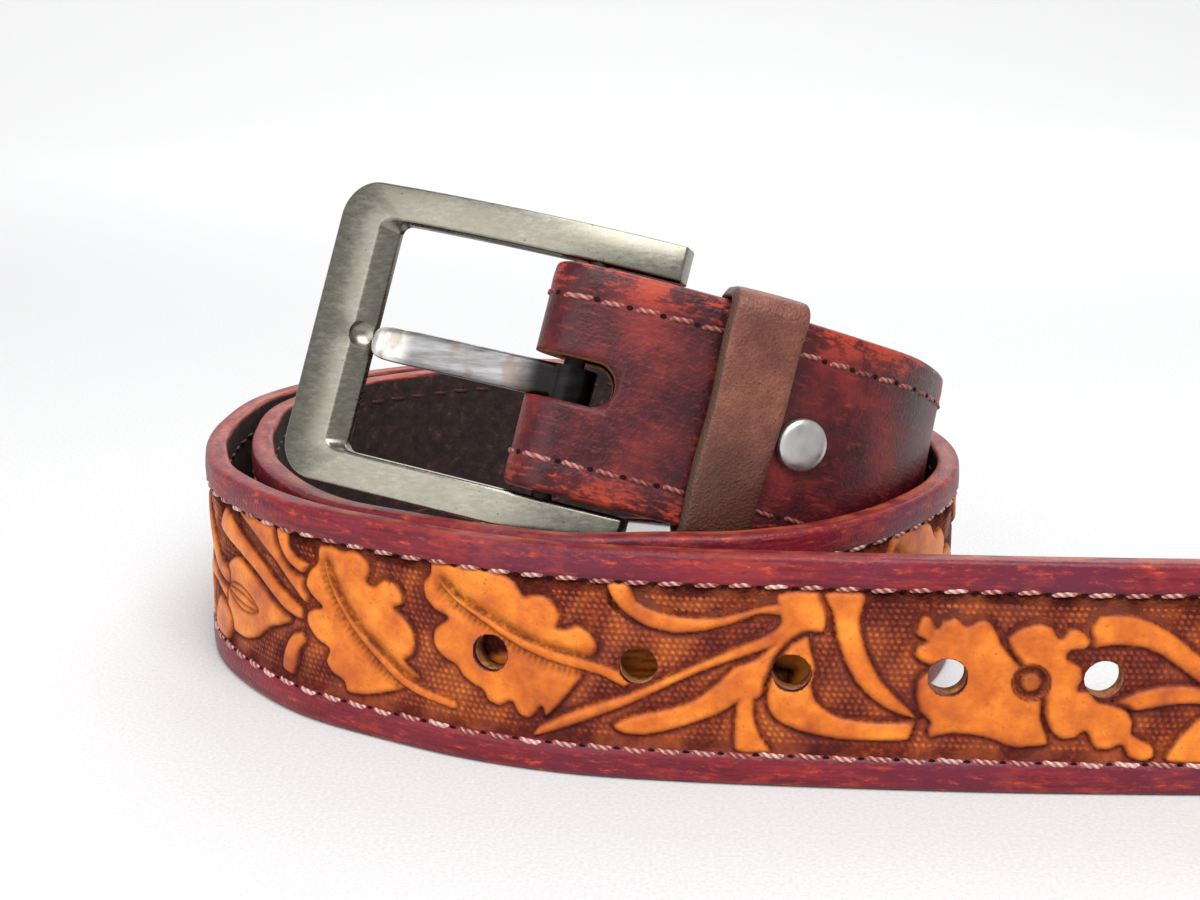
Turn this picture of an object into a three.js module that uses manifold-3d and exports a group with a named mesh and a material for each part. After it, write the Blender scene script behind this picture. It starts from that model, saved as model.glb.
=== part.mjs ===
// A western tooled leather belt, rolled up and stood on its edge, with its buckle end lifted out of the coil.
// The strap is one thick strip of leather. Its buckle end turns back round the heel bar of a cast frame and
// is held by a post screw. A narrow keeper is caught between the two layers, and a prong swings on the bar.
// Millimetres, +Z up. The belt stands on z = 0, and the origin is below the middle of its outline.
import * as THREE from "three";
import { mergeVertices } from "three/addons/utils/BufferGeometryUtils.js";
import Module from "manifold-3d";

const wasm = await Module();
wasm.setup();

// Strap
const strapWidth = 40;
const strapThickness = 4.4;
const edgeRounding = 1.1;
const borderWidth = 5.6;
const panelSink = 0.6;
const panelSlope = 0.8;
const panelFade = 14;
const plainEndLength = 150;
const tipLength = 26;
const tipBlunting = 0.42;

// Coil, as it stands on the table
const coilRadius = 75;
const lapGap = 0.5;
const freeEndLength = 182;
const stationSpacing = 5.4;

// Adjusting holes, counted back from the tip
const holeDiameter = 6.4;
const holeSpacing = 25.4;
const holeCount = 5;
const tipToFirstHole = 94.5;

// Turned-back buckle end
const tailLength = 66;
const slotReach = 7.8;
const slotWidth = 8;
const layerGap = 0.4;

// Cast buckle frame
const frameReach = 49.4;
const frameTail = 14.5;
const frameThickness = 4.4;
const armWidth = 6.6;
const crossbarWidth = 11.8;
const crossbarBevel = 3.2;
const crossbarBevelDepth = 3;
const frameCorner = 7;
const frameInnerCorner = 1.8;
const frameArch = 125;
const frameEdge = 0.5;
const armClearance = 1;
const frameCrown = 32;
const frameSwing = 22;
const frameSettle = 1.4;
const heelBarRadius = 2.4;
const notchRadius = 3;
const notchDepth = 2.8;

// Prong
const prongWidth = 6.1;
const prongThickness = 2.5;
const prongEyeWall = 1.7;
const prongRestAngle = 7;
const prongOverlap = 0.4;
const prongDrop = 0.8;
const runningGap = 0.35;

// Keeper
const keeperWidth = 12.6;
const keeperTilt = 2;
const keeperThickness = 1.9;
const keeperStandoff = 3.2;
const keeperSlack = 0.7;
const keeperCorner = 2;
const keeperBackCorner = 1.2;
const keeperAt = 29.5;

// Post screw
const screwAt = 41.5;
const screwHeadRadius = 4.7;
const screwBackRadius = 4.2;
const screwBackGap = 0.6;
const screwHeadHeight = 1.9;
const screwPostRadius = 2.3;
const screwShankRadius = 1.2;
const screwSlotWidth = 1;
const screwDrop = 0.8;

const seatGap = 0.3;
const roundSides = 20;

// The route of the strap's middle line. turn: turns round the coil from the front, where the heel bar is.
// reach: distance from the coil's middle, as a share of coilRadius. inset: laps that lie outside this one.
// lift: height above standing on the table, as a share of the lift at the heel bar. lean: degrees that the
// upper edge leans in towards the coil's middle.
const route = [
  { turn: 0, reach: 0.746, inset: 1, lift: 1, lean: 17 },
  { turn: 0.055, reach: 0.795, inset: 1, lift: 0.89, lean: 13 },
  { turn: 0.092, reach: 0.846, inset: 1, lift: 0.79, lean: 7 },
  { turn: 0.13, reach: 0.92, inset: 1, lift: 0.67, lean: 4 },
  { turn: 0.163, reach: 0.96, inset: 1, lift: 0.56, lean: -2 },
  { turn: 0.2, reach: 0.975, inset: 1, lift: 0.42, lean: -7 },
  { turn: 0.24, reach: 0.965, inset: 1, lift: 0.3, lean: -8 },
  { turn: 0.3, reach: 0.965, inset: 1, lift: 0.17, lean: -6 },
  { turn: 0.37, reach: 0.99, inset: 1, lift: 0.09, lean: -3 },
  { turn: 0.45, reach: 1.06, inset: 1, lift: 0.04, lean: 0 },
  { turn: 0.53, reach: 1.125, inset: 1, lift: 0, lean: 0 },
  { turn: 0.61, reach: 1.12, inset: 1, lift: 0, lean: 0 },
  { turn: 0.67, reach: 1.06, inset: 1, lift: 0, lean: 0 },
  { turn: 0.72, reach: 0.96, inset: 1, lift: 0, lean: 0 },
  { turn: 0.77, reach: 0.9, inset: 1, lift: 0, lean: 0 },
  { turn: 0.82, reach: 0.875, inset: 1, lift: 0, lean: 2 },
  { turn: 0.87, reach: 0.87, inset: 1, lift: 0, lean: 3 },
  { turn: 0.92, reach: 0.847, inset: 1, lift: 0, lean: 3 },
  { turn: 0.96, reach: 0.865, inset: 1, lift: 0, lean: 3 },
  { turn: 1, reach: 0.905, inset: 1, lift: 0, lean: 3 },
  { turn: 1.035, reach: 0.91, inset: 0.85, lift: 0, lean: 3 },
  { turn: 1.07, reach: 0.935, inset: 0.4, lift: 0, lean: 2 },
  { turn: 1.11, reach: 0.955, inset: 0.1, lift: 0, lean: 1 },
  { turn: 1.16, reach: 0.97, inset: 0, lift: 0, lean: 0 },
  { turn: 1.21, reach: 0.995, inset: 0, lift: 0, lean: 0 },
  { turn: 1.26, reach: 0.997, inset: 0, lift: 0, lean: 0 },
  { turn: 1.32, reach: 0.98, inset: 0, lift: 0, lean: 0 },
  { turn: 1.38, reach: 1.0, inset: 0, lift: 0, lean: 0 },
  { turn: 1.45, reach: 1.06, inset: 0, lift: 0, lean: 0 },
  { turn: 1.53, reach: 1.13, inset: 0, lift: 0, lean: 0 },
  { turn: 1.6, reach: 1.15, inset: 0, lift: 0, lean: 0 },
  { turn: 1.66, reach: 1.115, inset: 0, lift: 0, lean: 0 },
  { turn: 1.71, reach: 1.03, inset: 0, lift: 0, lean: 0 },
  { turn: 1.75, reach: 0.98, inset: 0, lift: 0, lean: 0 },
  { turn: 1.79, reach: 0.945, inset: 0, lift: 0, lean: 1 },
  { turn: 1.83, reach: 0.902, inset: 0, lift: 0, lean: 2 },
  { turn: 1.87, reach: 0.872, inset: 0, lift: 0, lean: 3 },
  { turn: 1.92, reach: 0.847, inset: 0, lift: 0, lean: 3 },
  { turn: 1.96, reach: 0.868, inset: 0, lift: 0, lean: 3 },
  { turn: 2, reach: 0.912, inset: 0, lift: 0, lean: 3 },
  { turn: 2.045, reach: 0.995, inset: 0, lift: 0, lean: 3 },
];

// The free end, which leaves the coil at the front. run: share of the way to the tip. drift: distance that it
// has come forward, as a share of coilRadius.
const freeEnd = [
  { run: 0.3, drift: 0.052, lean: 3 },
  { run: 0.6, drift: 0.075, lean: 1 },
  { run: 1, drift: 0.08, lean: 0 },
];

// Sizes that follow from the ones above
const foldRadius = heelBarRadius + runningGap + strapThickness / 2;
const frameHalfHeight = strapWidth / 2 + armClearance + armWidth;
const heelLean = THREE.MathUtils.degToRad(route[0].lean);
const heelLift = strapWidth / 2 + frameHalfHeight * Math.cos(heelLean) - frameSettle;
const eyeRadius = heelBarRadius + runningGap + prongEyeWall;
const prongLength = frameReach - crossbarWidth + prongOverlap;
const lapPitch = strapThickness + lapGap;

const lerp = THREE.MathUtils.lerp;
const smoothstep = THREE.MathUtils.smoothstep;

// A solid from rings of points that follow one another, with a flat cap at each end
function loft(rings) {
  const count = rings[0].length;
  const points = rings.flat();
  const faces = [];
  for (let i = 0; i + 1 < rings.length; i++) {
    for (let j = 0; j < count; j++) {
      const a = i * count + j;
      const b = i * count + ((j + 1) % count);
      faces.push(a, b, b + count, a, b + count, a + count);
    }
  }
  [rings[0], rings.at(-1)].forEach((ring, end) => {
    const middle = ring.reduce((sum, p) => sum.add(p), new THREE.Vector3()).divideScalar(count);
    const first = end * (rings.length - 1) * count;
    points.push(middle);
    for (let j = 0; j < count; j++) {
      const edge = [first + j, first + ((j + 1) % count)];
      faces.push(points.length - 1, ...(end ? edge : edge.reverse()));
    }
  });
  return new THREE.BufferGeometry().setFromPoints(points).setIndex(faces);
}

function toSolid(geometry) {
  const bare = geometry.clone();
  bare.deleteAttribute("normal");
  bare.deleteAttribute("uv");
  const merged = mergeVertices(bare, 1e-4);
  return new wasm.Manifold(new wasm.Mesh({
    numProp: 3,
    vertProperties: new Float32Array(merged.attributes.position.array),
    triVerts: new Uint32Array(merged.index.array),
  }));
}

function toGeometry(solid) {
  const mesh = solid.getMesh();
  return new THREE.BufferGeometry()
    .setAttribute("position", new THREE.BufferAttribute(new Float32Array(mesh.vertProperties), 3))
    .setIndex(new THREE.BufferAttribute(new Uint32Array(mesh.triVerts), 1));
}

// The place of the strap at one point of its route: along, across to the upper edge, and out through the face
function placeAt(point, along, lean) {
  const up = new THREE.Vector3(0, 0, 1).addScaledVector(along, -along.z).normalize();
  const inward = new THREE.Vector3().crossVectors(up, along);
  const angle = THREE.MathUtils.degToRad(lean);
  const across = up.multiplyScalar(Math.cos(angle)).addScaledVector(inward, Math.sin(angle));
  const out = new THREE.Vector3().crossVectors(along, across);
  return { point, along, across, out };
}

// How high the middle line is where the strap stands on the table
function standingHeight(lean) {
  const angle = THREE.MathUtils.degToRad(Math.abs(lean));
  return (strapWidth / 2) * Math.cos(angle) + (strapThickness / 2 - edgeRounding) * Math.sin(angle);
}

// The strap's middle line, from the heel bar to the tip
function stretchedRoute() {
  const points = route.map(({ turn, reach, inset, lift, lean }) => {
    const radius = coilRadius * reach - inset * lapPitch;
    const angle = turn * 2 * Math.PI;
    const height = standingHeight(lean) + lift * heelLift;
    return new THREE.Vector3(Math.sin(angle) * radius, -Math.cos(angle) * radius, height);
  });
  const last = points.at(-1);
  freeEnd.forEach(({ run, drift, lean }) => {
    const x = lerp(last.x, freeEndLength, run);
    points.push(new THREE.Vector3(x, last.y - drift * coilRadius, standingHeight(lean)));
  });
  const curve = new THREE.CatmullRomCurve3(points, false, "centripetal");
  curve.arcLengthDivisions = 2000;
  return curve;
}

const curve = stretchedRoute();
const routeLength = curve.getLength();

function leanAt(u) {
  const leans = [...route, ...freeEnd].map((row) => row.lean);
  const at = curve.getUtoTmapping(u) * (leans.length - 1);
  const before = Math.min(Math.floor(at), leans.length - 2);
  return lerp(leans[before], leans[before + 1], at - before);
}

// distance: millimetres along the strap from the heel bar
function strapPlace(distance) {
  const u = THREE.MathUtils.clamp(distance / routeLength, 0, 1);
  const lean = leanAt(u);
  const point = curve.getPointAt(u);
  point.z = Math.max(point.z, standingHeight(lean));
  return placeAt(point, curve.getTangentAt(u), lean);
}

// The point at a distance across the strap and out through its face
function pointOn(place, across, out) {
  return place.point.clone().addScaledVector(place.across, across).addScaledVector(place.out, out);
}

const heel = strapPlace(0);
const heelBarMiddle = pointOn(heel, 0, -foldRadius);

// How deep the turned-back tail lies under the strap: the fold's own depth at the heel bar, close at its end
function tailDepth(distance) {
  const underKeeper = strapThickness + keeperThickness + 2 * layerGap;
  const close = strapThickness + layerGap;
  const toKeeper = smoothstep(distance, 0, keeperAt - keeperWidth / 2);
  const past = smoothstep(distance, screwAt + screwHeadRadius + stationSpacing, tailLength);
  return lerp(lerp(2 * foldRadius, underKeeper, toKeeper), close, past);
}

function tailPlace(distance) {
  const over = strapPlace(distance);
  const point = pointOn(over, 0, -tailDepth(distance));
  return { point, along: over.along.clone().negate(), across: over.across, out: over.out.clone().negate() };
}

function foldPlace(share) {
  const angle = (0.5 - share) * Math.PI;
  const out = heel.out.clone().multiplyScalar(-Math.sin(angle)).addScaledVector(heel.along, -Math.cos(angle));
  const point = heelBarMiddle.clone().addScaledVector(out, foldRadius);
  return { point, along: new THREE.Vector3().crossVectors(heel.across, out), across: heel.across, out };
}

// Half the strap's width near its pointed tip
function halfWidth(toTip) {
  if (toTip >= tipLength) return strapWidth / 2;
  const share = 1 - toTip / tipLength;
  return (strapWidth / 2) * Math.max(0.12, Math.pow(1 - share * share, tipBlunting));
}

// One section of the strap: the inner face, two rounded edges, two raised borders and the sunk panel between
function strapRing(place, half, sink) {
  const face = strapThickness / 2;
  const panel = Math.max(half - borderWidth, 0.3 * half);
  const r = Math.min(edgeRounding, half / 3);
  const side = [
    [panel, face - sink],
    [panel + Math.min(panelSlope, (half - r - panel) / 2), face],
    [half - r, face],
    [half - 0.3 * r, face - 0.3 * r],
    [half, face - r],
    [half, r - face],
    [half - 0.3 * r, 0.3 * r - face],
    [half - r, -face],
  ];
  const outline = [...side, ...side.map(([across, out]) => [-across, out]).reverse()];
  return outline.map(([across, out]) => pointOn(place, across, out)).reverse();
}

function strapRings() {
  const rings = [];
  const foldSteps = 10;
  const tailSteps = Math.round(tailLength / stationSpacing);
  for (let i = tailSteps; i > 0; i--) {
    rings.push(strapRing(tailPlace((i / tailSteps) * tailLength), strapWidth / 2, 0));
  }
  for (let i = 0; i < foldSteps; i++) {
    rings.push(strapRing(foldPlace(i / foldSteps), strapWidth / 2, 0));
  }
  const steps = Math.round((routeLength - tipLength) / stationSpacing);
  for (let i = 0; i <= steps; i++) {
    const distance = (i / steps) * (routeLength - tipLength);
    const fade = smoothstep(distance, plainEndLength, plainEndLength + panelFade);
    const fadeOut = 1 - smoothstep(distance, routeLength - tipLength - panelFade, routeLength - tipLength);
    rings.push(strapRing(strapPlace(distance), strapWidth / 2, panelSink * fade * fadeOut));
  }
  const tipSteps = 9;
  for (let i = 1; i <= tipSteps; i++) {
    const toTip = tipLength * (1 - Math.sin((i / tipSteps) * Math.PI / 2));
    rings.push(strapRing(strapPlace(routeLength - toTip), halfWidth(toTip), 0));
  }
  return rings;
}

// A matrix that stands a shape's z axis out through the strap's face, with x along it and y across it
function placeMatrix(place) {
  return new THREE.Matrix4().makeBasis(place.along, place.across, place.out).setPosition(place.point);
}

// Bends a shape with the strap: x runs along it from a distance, y across it and z out through its face
function bendAlongStrap(geometry, distance) {
  const position = geometry.attributes.position;
  for (let i = 0; i < position.count; i++) {
    const place = strapPlace(distance + position.getX(i));
    position.setXYZ(i, ...pointOn(place, position.getY(i), position.getZ(i)));
  }
  return geometry;
}

function bore(radius, length, place) {
  const cylinder = new THREE.CylinderGeometry(radius, radius, length, roundSides).rotateX(Math.PI / 2);
  return toSolid(cylinder.applyMatrix4(placeMatrix(place)));
}

function slotCutter() {
  const shape = new THREE.Shape();
  shape.moveTo(slotReach - slotWidth / 2, -slotWidth / 2);
  shape.absarc(slotReach - slotWidth / 2, 0, slotWidth / 2, -Math.PI / 2, Math.PI / 2);
  shape.lineTo(-4 * foldRadius, slotWidth / 2);
  shape.lineTo(-4 * foldRadius, -slotWidth / 2);
  const settings = { depth: 6 * foldRadius, bevelEnabled: false, curveSegments: roundSides / 2 };
  const cutter = new THREE.ExtrudeGeometry(shape, settings).translate(0, 0, -settings.depth / 2);
  return toSolid(cutter.applyMatrix4(placeMatrix({ ...heel, point: heelBarMiddle })));
}

function screwPlace() {
  const place = strapPlace(screwAt);
  return { ...place, point: pointOn(place, -screwDrop, 0) };
}

function strapGeometry() {
  let solid = toSolid(loft(strapRings())).subtract(slotCutter());
  for (let i = 0; i < holeCount; i++) {
    const place = strapPlace(routeLength - tipToFirstHole - i * holeSpacing);
    solid = solid.subtract(bore(holeDiameter / 2, 3 * strapThickness, place));
  }
  const screwHole = screwPostRadius + seatGap;
  return toGeometry(solid.subtract(bore(screwHole, 6 * strapThickness, screwPlace())));
}

// The frame and its prong are modelled lying flat round the heel bar: x towards the crossbar, y to the upper
// arm, z out through the front. This turns them to lie in line with the strap's end.
const buckleMatrix = new THREE.Matrix4()
  .makeBasis(heel.along.clone().negate(), heel.across.clone().negate(), heel.out)
  .setPosition(heelBarMiddle)
  .multiply(new THREE.Matrix4().makeRotationY(THREE.MathUtils.degToRad(frameSwing)));

// The frame is arched to the waist: its height at a distance from the heel bar
function archHeight(x) {
  return (frameCrown * frameCrown - (x - frameCrown) * (x - frameCrown)) / (2 * frameArch);
}

// One section of the frame between an outer and an inner edge point. The bevel on its inner edge grows from
// a broken edge on the arms to its full size along the crossbar.
function frameRing([outerX, outerY], [innerX, innerY], growth) {
  const half = frameThickness / 2;
  const span = Math.hypot(innerX - outerX, innerY - outerY);
  const section = [
    [0, half - frameEdge],
    [frameEdge, half],
    [span - lerp(frameEdge, crossbarBevel, growth), half],
    [span, half - lerp(frameEdge, crossbarBevelDepth, growth)],
    [span, -half],
    [0, -half],
  ];
  return section.map(([across, z]) => {
    const x = lerp(outerX, innerX, across / span);
    const y = lerp(outerY, innerY, across / span);
    return new THREE.Vector3(x, y, z + archHeight(x));
  });
}

function frameRings() {
  const opening = frameHalfHeight - armWidth;
  const window = frameReach - crossbarWidth;
  const half = [];
  const armSteps = 9;
  for (let i = 0; i < armSteps; i++) {
    const x = lerp(-frameTail, window - frameInnerCorner, i / (armSteps - 1));
    half.push(frameRing([x, frameHalfHeight], [x, opening], 0));
  }
  const cornerSteps = 6;
  for (let i = 0; i <= cornerSteps; i++) {
    const angle = (Math.PI / 2) * (1 - i / cornerSteps);
    const corner = (centreX, centreY, r) => [centreX + Math.cos(angle) * r, centreY + Math.sin(angle) * r];
    const outer = corner(frameReach - frameCorner, frameHalfHeight - frameCorner, frameCorner);
    const inner = corner(window - frameInnerCorner, opening - frameInnerCorner, frameInnerCorner);
    half.push(frameRing(outer, inner, smoothstep(i, 0, cornerSteps)));
  }
  const mirrored = half.map((ring) => ring.map((p) => new THREE.Vector3(p.x, -p.y, p.z))).reverse();
  return [...half, ...mirrored];
}

function frameGeometry() {
  const barLength = 2 * frameHalfHeight - armWidth;
  const heelBar = new THREE.CylinderGeometry(heelBarRadius, heelBarRadius, barLength, roundSides);
  const windowEdge = frameReach - crossbarWidth;
  const notchHeight = frameThickness / 2 + archHeight(windowEdge) - notchDepth + notchRadius;
  const notch = new THREE.CylinderGeometry(notchRadius, notchRadius, 2 * crossbarBevel, roundSides)
    .rotateZ(Math.PI / 2)
    .translate(windowEdge, 0, notchHeight);
  return toGeometry(toSolid(loft(frameRings())).add(toSolid(heelBar)).subtract(toSolid(notch)));
}

// The prong's blade, from the heel bar to its blunt tip, as shares of its length, width and thickness. rise:
// height of its middle, as a share of the height of the eye's top.
const bladeSections = [
  { along: 0, width: 1, thickness: 0.8, rise: 0.95 },
  { along: 0.12, width: 1, thickness: 1, rise: 0.95 },
  { along: 0.4, width: 1, thickness: 1, rise: 0.9 },
  { along: 0.7, width: 1, thickness: 1, rise: 0.72 },
  { along: 0.86, width: 0.98, thickness: 0.95, rise: 0.5 },
  { along: 0.93, width: 0.9, thickness: 0.9, rise: 0.38 },
  { along: 0.975, width: 0.7, thickness: 0.8, rise: 0.3 },
  { along: 1, width: 0.35, thickness: 0.55, rise: 0.24 },
];

function bladeRing({ along, width, thickness, rise }) {
  const halfWide = (prongWidth * width) / 2;
  const halfThick = (prongThickness * thickness) / 2;
  const middle = (eyeRadius - prongThickness / 2) * rise;
  const sides = 12;
  return Array.from({ length: sides }, (_, i) => {
    const angle = (i / sides) * 2 * Math.PI;
    const squareness = 0.6;
    const soft = (value) => Math.sign(value) * Math.pow(Math.abs(value), squareness);
    const y = halfWide * soft(Math.cos(angle));
    const z = middle + halfThick * soft(Math.sin(angle));
    return new THREE.Vector3(along * prongLength, y, z);
  });
}

function prongGeometry() {
  const eyeHole = heelBarRadius + runningGap;
  const ring = new THREE.Shape().absarc(0, 0, eyeRadius, 0, 2 * Math.PI);
  ring.holes.push(new THREE.Path().absarc(0, 0, eyeHole, 0, 2 * Math.PI));
  const settings = { depth: prongWidth, bevelEnabled: false, curveSegments: roundSides / 2 };
  const eye = new THREE.ExtrudeGeometry(ring, settings)
    .translate(0, 0, -prongWidth / 2)
    .rotateX(-Math.PI / 2);
  const clearance = new THREE.CylinderGeometry(eyeHole, eyeHole, 2 * prongWidth, roundSides);
  const blade = toSolid(loft(bladeSections.map(bladeRing))).subtract(toSolid(clearance));
  return toGeometry(toSolid(eye).add(blade))
    .rotateY(-THREE.MathUtils.degToRad(prongRestAngle))
    .translate(0, prongDrop, 0);
}

function keeperGeometry() {
  const inside = {
    top: strapWidth / 2 + keeperSlack,
    upperFront: strapThickness / 2 + keeperStandoff,
    lowerFront: strapThickness / 2 + seatGap,
    back: strapThickness / 2 + layerGap,
  };
  const outline = (shape, grow) => {
    const corner = keeperCorner + grow;
    const y = inside.top + grow;
    const upperFront = inside.upperFront + grow;
    const lowerFront = inside.lowerFront + grow;
    const back = inside.back + grow;
    const backCorner = Math.min(corner, keeperBackCorner + grow);
    shape.moveTo(lowerFront - corner, -y);
    shape.absarc(lowerFront - corner, -y + corner, corner, -Math.PI / 2, 0);
    shape.absarc(upperFront - corner, y - corner, corner, 0, Math.PI / 2);
    shape.absarc(-back + backCorner, y - backCorner, backCorner, Math.PI / 2, Math.PI);
    shape.absarc(-back + backCorner, -y + backCorner, backCorner, Math.PI, 1.5 * Math.PI);
    return shape;
  };
  const loop = outline(new THREE.Shape(), keeperThickness);
  loop.holes.push(outline(new THREE.Path(), 0));
  const settings = { depth: keeperWidth, steps: 4, bevelEnabled: false, curveSegments: 4 };
  const geometry = new THREE.ExtrudeGeometry(loop, settings).translate(0, 0, -keeperWidth / 2);
  geometry.rotateY(-Math.PI / 2).rotateZ(THREE.MathUtils.degToRad(keeperTilt));
  return bendAlongStrap(geometry, keeperAt);
}

// How far the two screw heads stand off the strap's middle line, out through its face and behind its tail
const screwFront = strapThickness / 2 + seatGap;
const screwBack = -(strapThickness / 2 + tailDepth(screwAt) + screwBackGap);

function screwTurning(profile) {
  const points = profile.map(([radius, out]) => new THREE.Vector2(radius, out));
  return new THREE.LatheGeometry(points, 24).rotateX(Math.PI / 2).applyMatrix4(placeMatrix(screwPlace()));
}

function screwCapGeometry() {
  const bore = screwShankRadius + seatGap;
  const boreEnd = screwFront + 0.3 * screwHeadHeight;
  return screwTurning([
    [0, boreEnd],
    [bore, boreEnd],
    [bore, screwBack + seatGap],
    [screwPostRadius, screwBack + seatGap],
    [screwPostRadius, screwFront],
    [screwHeadRadius, screwFront],
    [screwHeadRadius, screwFront + 0.55 * screwHeadHeight],
    [0.86 * screwHeadRadius, screwFront + 0.88 * screwHeadHeight],
    [0.5 * screwHeadRadius, screwFront + screwHeadHeight],
    [0, screwFront + screwHeadHeight],
  ]);
}

function screwBackGeometry() {
  const turned = screwTurning([
    [0, screwBack - screwHeadHeight],
    [0.86 * screwBackRadius, screwBack - screwHeadHeight],
    [screwBackRadius, screwBack - 0.6 * screwHeadHeight],
    [screwBackRadius, screwBack],
    [screwShankRadius, screwBack],
    [screwShankRadius, screwFront],
    [0, screwFront],
  ]);
  const slot = new THREE.BoxGeometry(3 * screwHeadRadius, screwSlotWidth, screwHeadHeight)
    .translate(0, 0, screwBack - screwHeadHeight)
    .applyMatrix4(placeMatrix(screwPlace()));
  return toGeometry(toSolid(turned).subtract(toSolid(slot)));
}

const burgundyLeather = new THREE.MeshStandardMaterial({ color: 0x5a1a22, roughness: 0.45, metalness: 0 });
const brownLeather = new THREE.MeshStandardMaterial({ color: 0x5c3423, roughness: 0.55, metalness: 0 });
const castNickel = new THREE.MeshStandardMaterial({ color: 0x9a988c, roughness: 0.35, metalness: 1 });
const polishedSteel = new THREE.MeshStandardMaterial({ color: 0xb9b9b6, roughness: 0.25, metalness: 1 });

function addPiece(parent, name, geometry, material) {
  const mesh = new THREE.Mesh(geometry, material);
  mesh.name = name;
  parent.add(mesh);
  return mesh;
}

const belt = new THREE.Group();
addPiece(belt, "strap", strapGeometry(), burgundyLeather);
addPiece(belt, "keeper_loop", keeperGeometry(), brownLeather);
addPiece(belt, "screw_cap", screwCapGeometry(), polishedSteel);
addPiece(belt, "screw_back", screwBackGeometry(), polishedSteel);

const buckle = new THREE.Group();
buckle.applyMatrix4(buckleMatrix);
addPiece(buckle, "buckle_frame", frameGeometry(), castNickel);
addPiece(buckle, "prong", prongGeometry(), polishedSteel);
belt.add(buckle);

const outline = new THREE.Box3().setFromObject(belt);
belt.position.set(-(outline.min.x + outline.max.x) / 2, -(outline.min.y + outline.max.y) / 2, -outline.min.z);

export default belt;
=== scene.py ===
import math

import bmesh
import bpy
import numpy as np
from mathutils import Matrix, Vector


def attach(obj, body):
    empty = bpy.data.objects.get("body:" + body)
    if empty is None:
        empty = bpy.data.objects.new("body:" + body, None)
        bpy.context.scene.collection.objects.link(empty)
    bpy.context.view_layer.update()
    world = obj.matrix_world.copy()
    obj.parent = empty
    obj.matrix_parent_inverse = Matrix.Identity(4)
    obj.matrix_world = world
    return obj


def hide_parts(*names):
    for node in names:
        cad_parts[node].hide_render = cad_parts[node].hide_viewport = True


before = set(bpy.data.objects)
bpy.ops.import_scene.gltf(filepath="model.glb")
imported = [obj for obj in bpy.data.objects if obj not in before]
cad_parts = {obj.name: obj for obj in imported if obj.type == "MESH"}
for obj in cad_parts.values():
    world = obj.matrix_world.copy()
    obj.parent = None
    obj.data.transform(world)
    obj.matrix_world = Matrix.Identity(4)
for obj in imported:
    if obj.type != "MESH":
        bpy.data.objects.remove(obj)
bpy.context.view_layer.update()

# Table and studio. The belt stands on its edge on a pale paper sheet that curves up behind it. Soft light
# falls from above in front, and the belt is seen from a little above.
camera_dip = 14.74
camera_data = bpy.data.cameras.new("camera")
camera_data.lens = 51
camera_data.sensor_width = 36
camera_data.clip_start = 0.01
camera = bpy.data.objects.new("camera", camera_data)
camera.location = (-0.047474, -0.339855, 0.1271)
camera.rotation_euler = (math.radians(90 - camera_dip), 0, 0)
bpy.context.scene.collection.objects.link(camera)
bpy.context.scene.camera = camera


def add_object(name, mesh):
    """Puts a bmesh into the scene as an object at the origin."""
    data = bpy.data.meshes.new(name)
    mesh.to_mesh(data)
    mesh.free()
    thing = bpy.data.objects.new(name, data)
    bpy.context.scene.collection.objects.link(thing)
    return thing


def shade_smooth(mesh):
    for face in mesh.faces:
        face.smooth = True


def coat(thing, finish):
    """Gives a piece one material, in place of any that it has."""
    thing.data.materials.clear()
    thing.data.materials.append(finish.material)


def link_value(links, value, socket):
    """Feeds a socket with another node's output, or sets it to a plain value."""
    if isinstance(value, bpy.types.NodeSocket):
        links.new(value, socket)
    else:
        socket.default_value = value


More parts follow.
